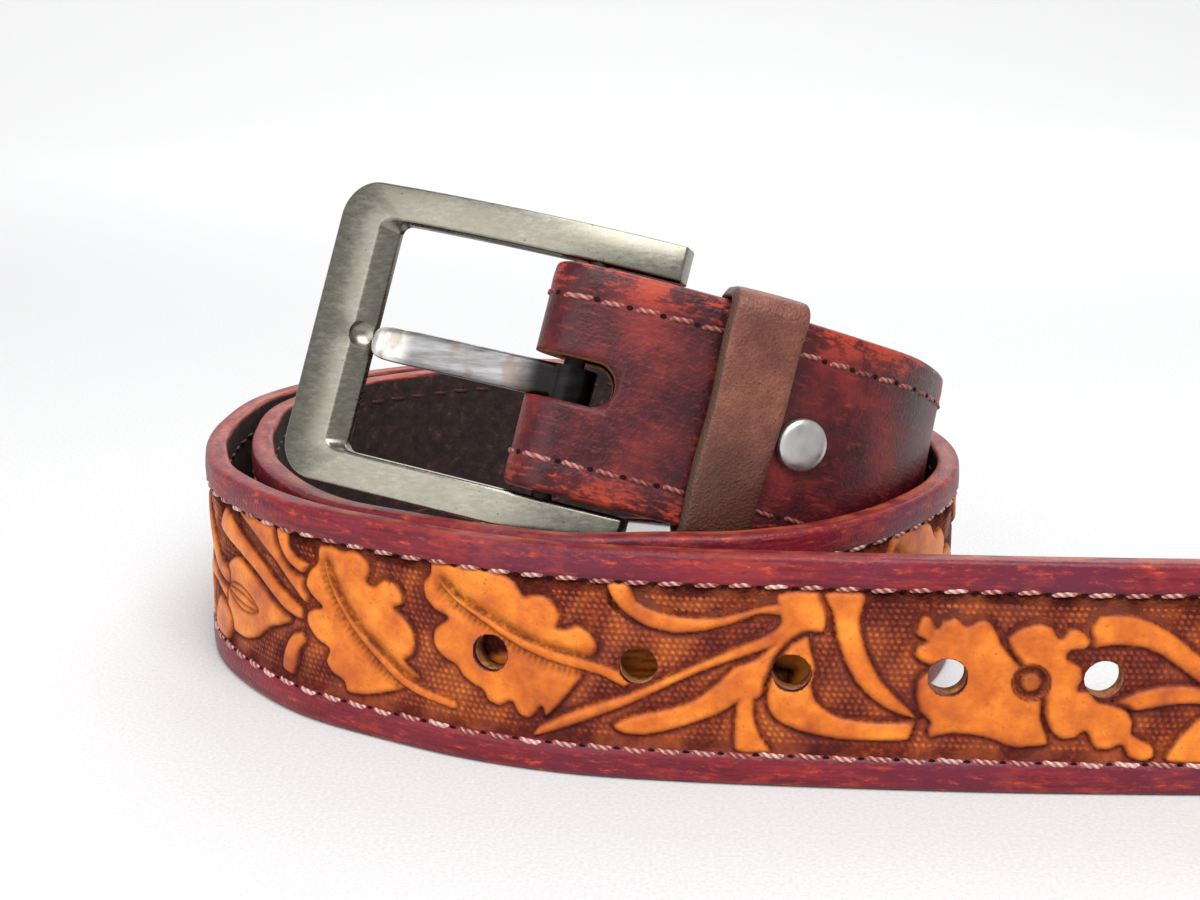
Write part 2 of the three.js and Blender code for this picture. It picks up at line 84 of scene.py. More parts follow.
class Finish:
    """A material and short ways to add the nodes that its surface needs."""

    def __init__(self, name, roughness=0.5, specular=0.5, metallic=0.0, coat=0.0, coat_roughness=0.03):
        self.material = bpy.data.materials.new(name)
        self.material.use_nodes = True
        self.nodes = self.material.node_tree.nodes
        self.links = self.material.node_tree.links
        self.shader = self.nodes["Principled BSDF"]
        for key, value in (
            ("Roughness", roughness), ("Specular IOR Level", specular), ("Metallic", metallic),
            ("Coat Weight", coat), ("Coat Roughness", coat_roughness),
        ):
            self.shader.inputs[key].default_value = value

    def place(self, scale=(1, 1, 1), turn=(0, 0, 0), source="Object"):
        if source == "Object":
            start = self.nodes.new("ShaderNodeTexCoord").outputs["Object"]
        else:
            start = self.nodes.new("ShaderNodeUVMap")
            start.uv_map = source
            start = start.outputs["UV"]
        mapping = self.nodes.new("ShaderNodeMapping")
        mapping.inputs["Scale"].default_value = scale
        mapping.inputs["Rotation"].default_value = turn
        self.links.new(start, mapping.inputs["Vector"])
        return mapping.outputs["Vector"]

    def noise(self, place, scale, detail=3, roughness=0.55):
        node = self.nodes.new("ShaderNodeTexNoise")
        for key, value in (("Scale", scale), ("Detail", detail), ("Roughness", roughness)):
            node.inputs[key].default_value = value
        self.links.new(place, node.inputs["Vector"])
        return node.outputs["Fac"]

    def cells(self, place, scale):
        node = self.nodes.new("ShaderNodeTexVoronoi")
        node.inputs["Scale"].default_value = scale
        self.links.new(place, node.inputs["Vector"])
        return node.outputs["Distance"]

    def ramp(self, value, *stops):
        """stops: position and grey level or colour."""
        node = self.nodes.new("ShaderNodeValToRGB")
        marks = node.color_ramp.elements
        while len(marks) < len(stops):
            marks.new(0.5)
        for mark, (position, colour) in zip(marks, stops):
            mark.position = position
            mark.color = (*colour, 1) if isinstance(colour, tuple) else (colour, colour, colour, 1)
        self.links.new(value, node.inputs["Fac"])
        return node.outputs["Color"]

    def mix(self, share, first, second):
        node = self.nodes.new("ShaderNodeMix")
        node.data_type = "RGBA"
        link_value(self.links, share, node.inputs["Factor"])
        for name, colour in (("A", first), ("B", second)):
            socket = [s for s in node.inputs if s.name == name and s.type == "RGBA"][0]
            link_value(self.links, (*colour, 1) if isinstance(colour, tuple) else colour, socket)
        return [s for s in node.outputs if s.type == "RGBA"][0]

    def math(self, kind, first, second=0.0):
        node = self.nodes.new("ShaderNodeMath")
        node.operation = kind
        link_value(self.links, first, node.inputs[0])
        link_value(self.links, second, node.inputs[1])
        return node.outputs["Value"]

    def times(self, first, second):
        return self.math("MULTIPLY", first, second)

    def rest(self, value):
        """What the value leaves of 1."""
        return self.math("SUBTRACT", 1.0, value)

    def band(self, value, low, high):
        """0 below low, 1 above high, and smooth between."""
        node = self.nodes.new("ShaderNodeMapRange")
        node.interpolation_type = "SMOOTHSTEP"
        node.inputs["From Min"].default_value = low
        node.inputs["From Max"].default_value = high
        self.links.new(value, node.inputs["Value"])
        return node.outputs["Result"]

    def stored(self, name):
        node = self.nodes.new("ShaderNodeAttribute")
        node.attribute_name = name
        return node.outputs["Fac"]

    def split(self, vector):
        node = self.nodes.new("ShaderNodeSeparateXYZ")
        self.links.new(vector, node.inputs["Vector"])
        return node.outputs["X"], node.outputs["Y"], node.outputs["Z"]

    def bump(self, height, distance, strength=1.0, under=None):
        node = self.nodes.new("ShaderNodeBump")
        node.inputs["Distance"].default_value = distance
        node.inputs["Strength"].default_value = strength
        self.links.new(height, node.inputs["Height"])
        if under is not None:
            self.links.new(under, node.inputs["Normal"])
        return node.outputs["Normal"]

    def finish(self, colour=None, roughness=None, normal=None):
        """Feeds the shader's main inputs and passes over those not given."""
        for value, name in ((colour, "Base Color"), (roughness, "Roughness"), (normal, "Normal")):
            if value is not None:
                self.links.new(value, self.shader.inputs[name])


glow_start, glow_end, glow_strength = 0.25, 1.25, 0.36
paper = Finish("pale_paper", roughness=0.9, specular=0.1)
fibres = paper.noise(paper.place(), 1400, detail=2)
_, far_back, _ = paper.split(paper.place())
backdrop_glow = paper.times(paper.band(far_back, glow_start, glow_end), glow_strength)
paper.shader.inputs["Emission Color"].default_value = (1, 1, 1, 1)
paper.links.new(backdrop_glow, paper.shader.inputs["Emission Strength"])
paper.finish(
    colour=paper.ramp(fibres, (0.3, (0.61, 0.61, 0.612)), (0.7, (0.70, 0.70, 0.702))),
    normal=paper.bump(fibres, 0.0002, 0.3),
)

sheet_half_width = 3
sheet_half_length = 2.2
sheet_front = 1.6
bend_start = 1.2
bend_radius = 0.5
bend_length = bend_radius * math.pi / 2
sheet = bmesh.new()
bmesh.ops.create_grid(sheet, x_segments=2, y_segments=60, size=1)
for v in sheet.verts:
    along = (v.co.y + 1) * sheet_half_length - sheet_front
    bend = max(0.0, min(along - bend_start, bend_length)) / bend_radius
    rise = max(0.0, along - bend_start - bend_length)
    back = min(along, bend_start) + bend_radius * math.sin(bend)
    v.co = (v.co.x * sheet_half_width, back, bend_radius * (1 - math.cos(bend)) + rise)
shade_smooth(sheet)
table = add_object("table_top", sheet)
coat(table, paper)

for name, place, aim, size, power in (
    ("window_light", (0.12, -0.62, 0.95), (-0.02, 0, 0.04), 0.8, 12),
    ("front_fill", (-0.65, -0.8, 0.45), (0, 0, 0.03), 0.9, 4.6),
    ("back_light", (0.15, 0.8, 0.9), (0, 0, 0.05), 0.8, 6),
):
    lamp = bpy.data.lights.new(name, "AREA")
    lamp.size = size
    lamp.energy = power
    light = bpy.data.objects.new(name, lamp)
    light.location = place
    light.rotation_euler = (Vector(place) - Vector(aim)).to_track_quat("Z", "Y").to_euler()
    bpy.context.scene.collection.objects.link(light)

sky = bpy.data.worlds.new("studio")
sky.use_nodes = True
sky_light = sky.node_tree.nodes["Background"]
sky_light.inputs["Color"].default_value = (0.97, 0.98, 1, 1)
sky_light.inputs["Strength"].default_value = 0.56
bpy.context.scene.world = sky
bpy.context.scene.view_settings.view_transform = "Standard"

# Strap. One strip of thick vegetable-tanned leather, rolled two turns with its flesh side in. Its grain
# side is dyed burgundy along both borders, its rims are burnished, and its buckle end turns back round the
# heel bar.
strap_width = 0.040
strap_thickness = 0.0044
edge_round = 0.0011
coil_radius = 0.075
lap_pitch = 0.0049
free_end = 0.182
tip_length = 0.026
tip_blunting = 0.42
tip_end_share = 0.12
border_width = 0.0056
panel_sink = 0.0006
plain_end = 0.150
panel_fade = 0.014
heel_lift = 0.044994
coil_middle = Vector((-0.052474, -0.002855, 0))
heel_bar_radius = 0.0024
bar_clearance = 0.00035
fold_radius = heel_bar_radius + bar_clearance + strap_thickness / 2
tail_length = 0.066

# Turn, reach as a share of the coil's radius, laps outside this one, share of the heel's lift, lean
route = (
    (0, 0.746, 1, 1, 17), (0.055, 0.795, 1, 0.89, 13), (0.092, 0.846, 1, 0.79, 7), (0.13, 0.92, 1, 0.67, 4),
    (0.163, 0.96, 1, 0.56, -2), (0.2, 0.975, 1, 0.42, -7), (0.24, 0.965, 1, 0.3, -8),
    (0.3, 0.965, 1, 0.17, -6), (0.37, 0.99, 1, 0.09, -3), (0.45, 1.06, 1, 0.04, 0), (0.53, 1.125, 1, 0, 0),
    (0.61, 1.12, 1, 0, 0), (0.67, 1.06, 1, 0, 0), (0.72, 0.96, 1, 0, 0), (0.77, 0.9, 1, 0, 0),
    (0.82, 0.875, 1, 0, 2), (0.87, 0.87, 1, 0, 3), (0.92, 0.847, 1, 0, 3), (0.96, 0.865, 1, 0, 3),
    (1, 0.905, 1, 0, 3), (1.035, 0.91, 0.85, 0, 3), (1.07, 0.935, 0.4, 0, 2), (1.11, 0.955, 0.1, 0, 1),
    (1.16, 0.97, 0, 0, 0), (1.21, 0.995, 0, 0, 0), (1.26, 0.997, 0, 0, 0), (1.32, 0.98, 0, 0, 0),
    (1.38, 1.0, 0, 0, 0), (1.45, 1.06, 0, 0, 0), (1.53, 1.13, 0, 0, 0), (1.6, 1.15, 0, 0, 0),
    (1.66, 1.115, 0, 0, 0), (1.71, 1.03, 0, 0, 0), (1.75, 0.98, 0, 0, 0), (1.79, 0.945, 0, 0, 1),
    (1.83, 0.902, 0, 0, 2), (1.87, 0.872, 0, 0, 3), (1.92, 0.847, 0, 0, 3), (1.96, 0.868, 0, 0, 3),
    (2, 0.912, 0, 0, 3), (2.045, 0.995, 0, 0, 3),
)
# The free end: share of the way to the tip, how far forward as a share of the coil's radius, lean
loose_end = ((0.3, 0.052, 3), (0.6, 0.075, 1), (1, 0.08, 0))


def standing_height(lean):
    angle = np.radians(np.abs(lean))
    return strap_width / 2 * np.cos(angle) + (strap_thickness / 2 - edge_round) * np.sin(angle)


def curve_between(start, end, leave, arrive, t):
    """Where a smooth curve between two points is at t, from its tangents at both."""
    square = 3 * (end - start) - 2 * leave - arrive
    cube = 2 * (start - end) + leave + arrive
    return start + leave * t + square * t ** 2 + cube * t ** 3


def smooth_route(points, steps=60):
    """Points along a smooth curve through these, and where each lies among them."""
    padded = [2 * points[0] - points[1], *points, 2 * points[-1] - points[-2]]
    line, share = [], []
    for i in range(len(points) - 1):
        p0, p1, p2, p3 = padded[i:i + 4]
        d0, d1, d2 = (np.linalg.norm(b - a) ** 0.5 for a, b in ((p0, p1), (p1, p2), (p2, p3)))
        t1 = ((p1 - p0) / d0 - (p2 - p0) / (d0 + d1) + (p2 - p1) / d1) * d1
        t2 = ((p2 - p1) / d1 - (p3 - p1) / (d1 + d2) + (p3 - p2) / d2) * d1
        for k in range(steps + (i == len(points) - 2)):
            t = k / steps
            line.append(curve_between(p1, p2, t1, t2, t))
            share.append(i + t)
    return np.array(line), np.array(share)


route_points = []
for turn, reach, laps, lift, lean in route:
    radius = coil_radius * reach - laps * lap_pitch
    angle = turn * 2 * math.pi
    height = standing_height(lean) + lift * heel_lift
    route_points.append(np.array((math.sin(angle) * radius, -math.cos(angle) * radius, height)))
leave_coil = route_points[-1]
for run, drift, lean in loose_end:
    ahead = leave_coil[0] + (free_end - leave_coil[0]) * run
    route_points.append(np.array((ahead, leave_coil[1] - drift * coil_radius, standing_height(lean))))
middle_line, knot_share = smooth_route(route_points)
middle_run = np.concatenate(([0], np.cumsum(np.linalg.norm(np.diff(middle_line, axis=0), axis=1))))
strap_length = float(middle_run[-1])
lean_knots = [row[4] for row in route] + [row[2] for row in loose_end]
middle_lean = np.interp(knot_share, range(len(lean_knots)), lean_knots)
middle_tangent = np.gradient(middle_line, middle_run, axis=0)


def unit(vectors):
    return vectors / np.linalg.norm(vectors, axis=-1, keepdims=True)


def strap_place(run):
    """The strap's middle and its along, across and outward directions, at distances from the heel bar."""
    run = np.clip(np.atleast_1d(np.asarray(run, float)), 0, strap_length)
    point = np.stack([np.interp(run, middle_run, middle_line[:, k]) for k in range(3)], axis=-1)
    lean = np.interp(run, middle_run, middle_lean)
    point[:, 2] = np.maximum(point[:, 2], standing_height(lean))
    along = unit(np.stack([np.interp(run, middle_run, middle_tangent[:, k]) for k in range(3)], axis=-1))
    up = unit(np.array((0, 0, 1.0)) - along * along[:, 2:3])
    inward = np.cross(up, along)
    angle = np.radians(lean)[:, None]
    across = up * np.cos(angle) + inward * np.sin(angle)
    return point + np.array(coil_middle), along, across, np.cross(along, across)


def smooth(x, low, high):
    t = np.clip((x - low) / (high - low), 0, 1)
    return t * t * (3 - 2 * t)


heel_point, heel_along, heel_across, heel_out = (v[0] for v in strap_place(0))
heel_bar = heel_point - heel_out * fold_radius
keeper_at = 0.0295
keeper_thickness = 0.0019
keeper_width = 0.0126
screw_at = 0.0415
screw_radius = 0.0047
clear_of_screw = 0.0054
keeper_slack = 0.0008
layer_gap = 0.0004


def tail_depth(run):
    under_keeper = strap_thickness + keeper_thickness + keeper_slack
    toward = smooth(run, 0, keeper_at - keeper_width / 2)
    past = smooth(run, screw_at + screw_radius + clear_of_screw, tail_length)
    near = 2 * fold_radius + (under_keeper - 2 * fold_radius) * toward
    return near + (strap_thickness + layer_gap - near) * past


def strip_place(run):
    """As strap_place, and with negative distances on round the fold and then back along the tail."""
    run = np.atleast_1d(np.asarray(run, float))
    point, along, across, out = strap_place(np.maximum(run, 0))
    fold = math.pi * fold_radius
    turn = np.clip(-run / fold, 0, 1)[:, None] * math.pi
    bent_out = heel_out * np.cos(turn) - heel_along * np.sin(turn)
    bent_along = heel_along * np.cos(turn) + heel_out * np.sin(turn)
    on_fold = ((run < 0) & (run > -fold))[:, None]
    point = np.where(on_fold, heel_bar + bent_out * fold_radius, point)
    out = np.where(on_fold, bent_out, out)
    along = np.where(on_fold, bent_along, along)
    across = np.where(on_fold, heel_across, across)
    back = np.maximum(-run - fold, 0)
    b_point, b_along, b_across, b_out = strap_place(back)
    on_tail = (run <= -fold)[:, None]
    point = np.where(on_tail, b_point - b_out * tail_depth(back)[:, None], point)
    out = np.where(on_tail, -b_out, out)
    along = np.where(on_tail, -b_along, along)
    across = np.where(on_tail, b_across, across)
    return point, along, across, out


def half_width(to_tip):
    share = 1 - np.clip(to_tip, 0, tip_length) / tip_length
    return strap_width / 2 * np.maximum(tip_end_share, (1 - share * share) ** tip_blunting)


def close_up(mesh):
    """Joins the seams of a bmesh, fills its open ends and turns its faces outward."""
    bmesh.ops.remove_doubles(mesh, verts=[v for v in mesh.verts if v.is_boundary], dist=2e-6)
    bmesh.ops.holes_fill(mesh, edges=[e for e in mesh.edges if e.is_boundary], sides=0)
    bmesh.ops.recalc_face_normals(mesh, faces=mesh.faces)


def close_piece(thing):
    """Closes every body in an object's mesh and shades it smooth."""
    mesh = bmesh.new()
    mesh.from_mesh(thing.data)
    close_up(mesh)
    shade_smooth(mesh)
    mesh.to_mesh(thing.data)
    mesh.free()


flesh_label = 0.026


def swept_grid(name, runs, steps, shape):
    """A closed body wrapped round the strip. shape gives across, out, label and attributes for each point."""
    mesh = bmesh.new()
    bmesh.ops.create_grid(mesh, x_segments=len(runs) - 1, y_segments=steps, size=0.5)
    thing = add_object(name, mesh)
    co = np.zeros(len(thing.data.vertices) * 3)
    thing.data.vertices.foreach_get("co", co)
    co = co.reshape(-1, 3)
    row = np.rint((co[:, 0] + 0.5) * (len(runs) - 1)).astype(int)
    step = np.rint((co[:, 1] + 0.5) * steps).astype(int)
    across, out, label, extra = shape(runs[row], step)
    point, _, over, front = strip_place(runs[row])
    placed = point + over * across[:, None] + front * out[:, None]
    thing.data.vertices.foreach_set("co", placed.ravel())
    loop_vertex = np.zeros(len(thing.data.loops), int)
    thing.data.loops.foreach_get("vertex_index", loop_vertex)
    flat = thing.data.uv_layers.new(name="strap_run")
    pairs = np.stack([runs[row][loop_vertex], label[loop_vertex]], axis=-1)
    # On faces that join the two ends of the flesh side the label changes sign. Both get the same sign there.
    starts = np.zeros(len(thing.data.polygons), dtype=np.int32)
    thing.data.polygons.foreach_get("loop_start", starts)
    for first in starts:
        corner = pairs[first:first + 4, 1]
        if corner.min() < -flesh_label and corner.max() > flesh_label:
            pairs[first:first + 4, 1] = np.abs(corner)
    flat.uv.foreach_set("vector", pairs.ravel())
    for key, values in extra.items():
        stored = thing.data.attributes.new(key, "FLOAT", "POINT")
        stored.data.foreach_set("value", values)
    close_piece(thing)
    return thing


def place_matrix(point, along, across, out):
    turn = Matrix((along, across, out)).transposed().to_4x4()
    turn.translation = point
    return turn


def combine(thing, other, kind="DIFFERENCE"):
    """Cuts one closed body out of another for good, or joins it on, and takes it away."""
    step = thing.modifiers.new("combine", "BOOLEAN")
    step.operation = kind
    step.solver = "MANIFOLD"
    step.object = other
    result = bpy.data.meshes.new_from_object(thing.evaluated_get(bpy.context.evaluated_depsgraph_get()))
    thing.modifiers.clear()
    thing.data = result
    bpy.data.objects.remove(other)


def add_bar(mesh, radius, length, place=Matrix.Identity(4), segments=32):
    bmesh.ops.create_cone(
        mesh, cap_ends=True, segments=segments, radius1=radius, radius2=radius, depth=length, matrix=place,
    )


raw_label = 0.06


def label_raw(mesh):
    """Marks a cutting tool, so that the walls it leaves look like raw leather."""
    label = mesh.loops.layers.uv.new("strap_run")
    for face in mesh.faces:
        for loop in face.loops:
            loop[label].uv = (0.5, raw_label)


hole_radius = 0.0032
first_hole = 0.0945
hole_pitch = 0.0254
punch_length = 0.013
hole_runs = [strap_length - first_hole - hole_pitch * i for i in range(5)]


def hole_punch(radius=hole_radius):
    """The five round punches, as one tool that stands through the strap."""
    mesh = bmesh.new()
    for run in hole_runs:
        point, along, across, out = (v[0] for v in strap_place(run))
        add_bar(mesh, radius, punch_length, place_matrix(point, along, across, out))
    shade_smooth(mesh)
    label_raw(mesh)
    return add_object("punch", mesh)


def panel_share(run):
    """1 where the panel between the borders is carved, and 0 at the plain ends of the strap."""
    panel_end = strap_length - tip_length
    share = smooth(run, plain_end, plain_end + panel_fade)
    return share * (1 - smooth(run, panel_end - panel_fade, panel_end))


# The section from the middle of the front to the middle of the back: its parts and how far along each
section = [("face", k / 12) for k in range(13)]
section += [("round_front", k / 6) for k in range(1, 7)]
section += [("rim", 0.5)]
section += [("round_back", k / 6) for k in range(7)]
section += [("back", k / 8) for k in range(1, 9)]
panel_spots = (0, 0.35, 0.65, 0.9, 0.985, 1.0)
# How deep the panel's floor and its edge lie, as shares of panel_sink
floor_share, edge_share = 2.2, 0.9
border_swell = 0.00015
flesh_wave = 0.00012
front_parts = 18
rim_label, label_step = 0.02, 0.001


def strip_section(runs, step):
    """Across and out offsets round the section, and a label for the part of the section."""
    half = half_width(strap_length - runs)
    sink = panel_sink * panel_share(runs)
    half_steps = len(section) - 1
    side = np.where(step > half_steps, -1.0, 1.0)
    position = np.where(step > half_steps, 2 * half_steps - step, step)
    r = np.minimum(edge_round, half / 3)
    face = strap_thickness / 2
    panel = np.maximum(half - border_width, 0.3 * half)
    across, out, label = np.zeros(len(runs)), np.zeros(len(runs)), np.zeros(len(runs))
    for k, (part, share) in enumerate(section):
        here = position == k
        wide, round_off = half[here], r[here]
        if part == "face" and k < len(panel_spots):
            a = panel[here] * panel_spots[k]
            o = face - sink[here] * (floor_share if k < 5 else edge_share)
        elif part == "face":
            t = (k - 5) / 7
            a = panel[here] + (wide - round_off - panel[here]) * t
            swell = border_swell * math.sin(math.pi * t)
            o = face - edge_share * sink[here] * (1 - smooth(t, 0, 0.22)) + swell
        elif part == "round_front":
            a = wide - round_off * (1 - math.sin(share * math.pi / 2))
            o = face - round_off * (1 - math.cos(share * math.pi / 2))
        elif part == "rim":
            a, o = wide, 0 * wide
        elif part == "round_back":
            a = wide - round_off * (1 - math.cos(share * math.pi / 2))
            o = -face + round_off * (1 - math.sin(share * math.pi / 2))
        else:
            a = (wide - round_off) * (1 - share)
            o = -face + 0 * a
        across[here], out[here] = a, o
        label[here] = k
    # The front is labelled with the place across it, and past its rounding the labels count on from rim_label
    flesh_share = smooth(label, 19, 26)
    label = np.where(label <= front_parts, across, rim_label + (label - front_parts) * label_step)
    uneven = flesh_wave * np.sin(runs * 310 + 9 * across) * flesh_share
    return across * side, out + uneven, label * side, {}


fold_length = math.pi * fold_radius
strip_runs = np.concatenate((
    -fold_length - np.linspace(tail_length, 0.0005, 44),
    -fold_length * np.linspace(1, 0, 25)[:-1],
    np.arange(0, strap_length - tip_length, 0.0018),
    strap_length - tip_length * (1 - np.sin(np.linspace(0, 0.5, 17) * math.pi)),
))
strap = swept_grid("strap_leather", strip_runs, 2 * (len(section) - 1), strip_section)
combine(strap, hole_punch())

# The fold is slotted for the prong
slot_width = 0.008
slot_reach = 0.0078
slot_tool_size = 0.03
slot_tool = bmesh.new()
add_bar(slot_tool, slot_width / 2, slot_tool_size)
for v in slot_tool.verts:
    if v.co.x < -1e-6:
        v.co = (-slot_tool_size, math.copysign(slot_width / 2, v.co.y), v.co.z)
bmesh.ops.remove_doubles(slot_tool, verts=slot_tool.verts, dist=1e-6)
label_raw(slot_tool)
slot_middle = heel_bar + heel_along * (slot_reach - slot_width / 2)
slot_place = place_matrix(slot_middle, heel_along, heel_across, heel_out)
bmesh.ops.transform(slot_tool, matrix=slot_place, verts=slot_tool.verts)
combine(strap, add_object("slot_tool", slot_tool))

hide = Finish("burgundy_hide", roughness=0.42, specular=0.28, coat=0.04, coat_roughness=0.35)
run_x, run_y, _ = hide.split(hide.place(source="strap_run"))
# Labels run from 0 in the middle of the grain side to the rim, then the flesh side, then raw walls of cuts
side_of = hide.math("ABSOLUTE", run_y)
solid_place = hide.place()


def strip_noise(along, across, detail=5, roughness=0.55):
    """Noise drawn out along the strip, by its scale along and across it."""
    place = hide.place(scale=(along, across, 1), source="strap_run")
    return hide.noise(place, 1, detail=detail, roughness=roughness)


mottle = hide.noise(solid_place, 62, detail=8, roughness=0.68)
patches = hide.noise(solid_place, 26, detail=4, roughness=0.55)
scuff = strip_noise(240, 800, detail=8, roughness=0.75)
dye = hide.ramp(
    strip_noise(60, 900, roughness=0.65),
    (0.3, (0.070, 0.004, 0.010)), (0.5, (0.16, 0.009, 0.018)), (0.72, (0.27, 0.018, 0.026)),
)
dye = hide.mix(hide.band(patches, 0.42, 0.62), dye, (0.12, 0.011, 0.028))
plain = hide.ramp(
    mottle, (0.34, (0.012, 0.002, 0.004)), (0.5, (0.070, 0.006, 0.009)), (0.66, (0.20, 0.018, 0.015)),
)
plain_share = hide.rest(hide.band(run_x, plain_end - 0.01, plain_end + 0.03))
face_colour = hide.mix(plain_share, dye, plain)
# Painted shade: the grain side is darkened towards the keeper, up to just short of the screw.
keeper_shade = hide.times(hide.band(run_x, 0.009, 0.024), hide.math("LESS_THAN", run_x, 0.037))
face_colour = hide.mix(hide.times(keeper_shade, 0.55), face_colour, (0.013, 0.003, 0.007))
near_edge = hide.band(side_of, 0.0125, 0.0195)
worn = hide.times(hide.band(scuff, 0.52, 0.70), hide.math("ADD", 0.25, hide.times(near_edge, 0.75)))
edge_scuff = hide.times(near_edge, hide.band(hide.math("ADD", scuff, mottle), 1.00, 1.10))
edge_scuff = hide.times(edge_scuff, hide.math("ADD", 0.22, hide.times(plain_share, 0.28)))
face_colour = hide.mix(hide.math("MAXIMUM", worn, edge_scuff), face_colour, (0.58, 0.070, 0.022))
rim_colour = hide.ramp(
    strip_noise(140, 300, roughness=0.6), (0.32, (0.09, 0.008, 0.014)), (0.46, (0.22, 0.022, 0.022)),
    (0.60, (0.38, 0.085, 0.035)), (0.74, (0.17, 0.05, 0.08)),
)
flesh_colour = hide.ramp(
    hide.noise(solid_place, 420, detail=6, roughness=0.8),
    (0.40, (0.014, 0.007, 0.008)), (0.58, (0.036, 0.018, 0.016)), (0.74, (0.13, 0.062, 0.035)),
)
raw_colour = hide.ramp(
    hide.noise(solid_place, 900, detail=4, roughness=0.7),
    (0.35, (0.12, 0.032, 0.010)), (0.65, (0.42, 0.16, 0.045)),
)
on_flesh = hide.band(side_of, 0.0250, 0.0275)
hide_colour = hide.mix(hide.band(side_of, 0.0192, 0.0215), face_colour, rim_colour)
hide_colour = hide.mix(on_flesh, hide_colour, flesh_colour)
hide_colour = hide.mix(hide.band(side_of, 0.045, 0.050), hide_colour, raw_colour)
# Painted shade: the flesh side within the fold, along the tail and just past the heel bar is made nearly
# black.
fold_shade = hide.times(on_flesh, hide.math("LESS_THAN", run_x, 0.022))
hide_colour = hide.mix(hide.times(fold_shade, 0.9), hide_colour, (0.003, 0.002, 0.002))
pores = hide.times(hide.cells(solid_place, 1500), 0.5)
grain = hide.math("ADD", pores, hide.noise(solid_place, 1300, detail=3))
creases = hide.bump(strip_noise(90, 1200), 0.00018, 0.5)
hide_rough = hide.ramp(mottle, (0.3, 0.30), (0.7, 0.52))
hide_rough = hide.mix(hide.band(side_of, 0.024, 0.027), hide_rough, (0.9, 0.9, 0.9))
hide.finish(colour=hide_colour, roughness=hide_rough, normal=hide.bump(grain, 0.00018, 0.6, under=creases))
coat(strap, hide)
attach(strap, "strap_body")
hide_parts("strap")

# Tooling. The panel between the borders is cased and carved: each leaf, stem and scroll is outlined with a
# cut, the ground round it is beaten down with a seed tool and antiqued dark, and the raised work is dyed tan.
# Outlines are in millimetres: back from the tip, and up from the middle of the strap.
trunk = (
    (148, 13.5), (140.3, 13.8), (140, 7.5), (141.5, 7), (143.5, 6.5), (145.5, 5), (147.5, 3), (149, 0.5),
    (149.6, -2), (149.8, -4), (151, -5), (152.5, -4.4), (153.6, -4), (155, 0.5), (151, 2), (148.5, 5),
    (150, 6), (147.5, 8.5),
)
upper_blade = (
    (176, 14.3), (175.5, 12), (173.5, 9.5), (170, 7.2), (165, 6), (160, 6.5), (155, 8), (150.5, 9.8),
    (146, 9.5), (146, 12), (149.5, 11.6), (153.5, 10.3), (158, 9.2), (163, 9), (167.5, 9.8), (171, 11.5),
    (172.5, 14.3),
)
stem_up = (
    (146, 9), (150, 6.3), (155, 4), (161, 1), (167.5, -2.3), (172, -4.6), (177, -6.5), (182, -8.7),
    (187, -11.5), (188.5, -14), (184, -12.4), (177, -9.2), (171.5, -6.6), (166, -3.6), (161, -1),
    (156.5, 1), (151.5, 3), (146, 5.5),
)
stem_low = (
    (147, 6), (151, 2.5), (155, 0.5), (158, -2.5), (161.5, -5.3), (165.5, -7), (171, -8.4),
    (174.8, -10.4), (173.5, -12), (169.5, -12.2), (165, -11), (160.5, -9.3), (156.5, -7.4), (154, -5.6),
    (150, -3),
)
foot_stem = (
    (153.3, -3), (154.4, -6), (154.6, -10), (154.2, -14.2), (148.6, -14.2), (150.2, -11), (151.2, -8),
    (151.2, -5), (149.8, -2),
)
lower_blade = (
    (142.8, 6.4), (145.6, 4.9), (147.6, 2), (149, -2), (149.3, -5.6), (148, -8.2), (145, -9.8),
    (142, -10.7), (137, -11.5), (131.5, -11.6), (126.2, -11.3), (125, -9), (124.6, -7.4), (127.5, -8),
    (132.5, -8), (137, -7.4), (140.5, -5.4), (141.9, -2.5), (141.4, 1), (142.2, 4),
)
right_blade = (
    (140.2, 13.9), (139, 10), (138, 5.5), (136.5, 1.5), (134.5, -1.8), (132, -4.3), (128.5, -6.5),
    (124.6, -7.4), (127, -4.6), (130, -1.6), (132, 1.5), (133.5, 5), (134.4, 9), (133.8, 13.9),
)
bud = (
    (265, 1.5), (258.5, 5.2), (254, 4), (247.5, 2), (243.5, 0.3), (239.5, -2.3), (242.5, -4.2),
    (246.5, -5.8), (251, -9), (256, -10.8), (262.5, -10.8), (266, -8), (267, -3.5),
)
blade_long = (
    (264, 13.5), (257, 10.4), (249, 7), (242.5, 3.4), (236.5, 0.8), (236.6, -1.6), (241, -1), (245, 0.8),
    (251, 3.8), (258, 6), (267, 8.5),
)
blade_middle = (
    (258, 14.5), (251.5, 11.2), (244.5, 7.8), (239.5, 4.3), (235.6, 1.8), (234.6, 4.8), (237, 7),
    (240.6, 8), (243, 10.4), (244.6, 14.5),
)
blade_curl = (
    (243.7, 15), (243.6, 12.5), (242.2, 10), (239.6, 8), (236.2, 7.2), (234.6, 9.3), (238, 10.2),
    (240, 12), (240.2, 14.6),
)
leaflet = (
    (239.2, -4.8), (236.4, -3.8), (235.6, -5.6), (237.2, -7.6), (237.8, -10), (239.2, -12.9),
    (242.2, -12.3), (242.2, -10), (241, -7),
)
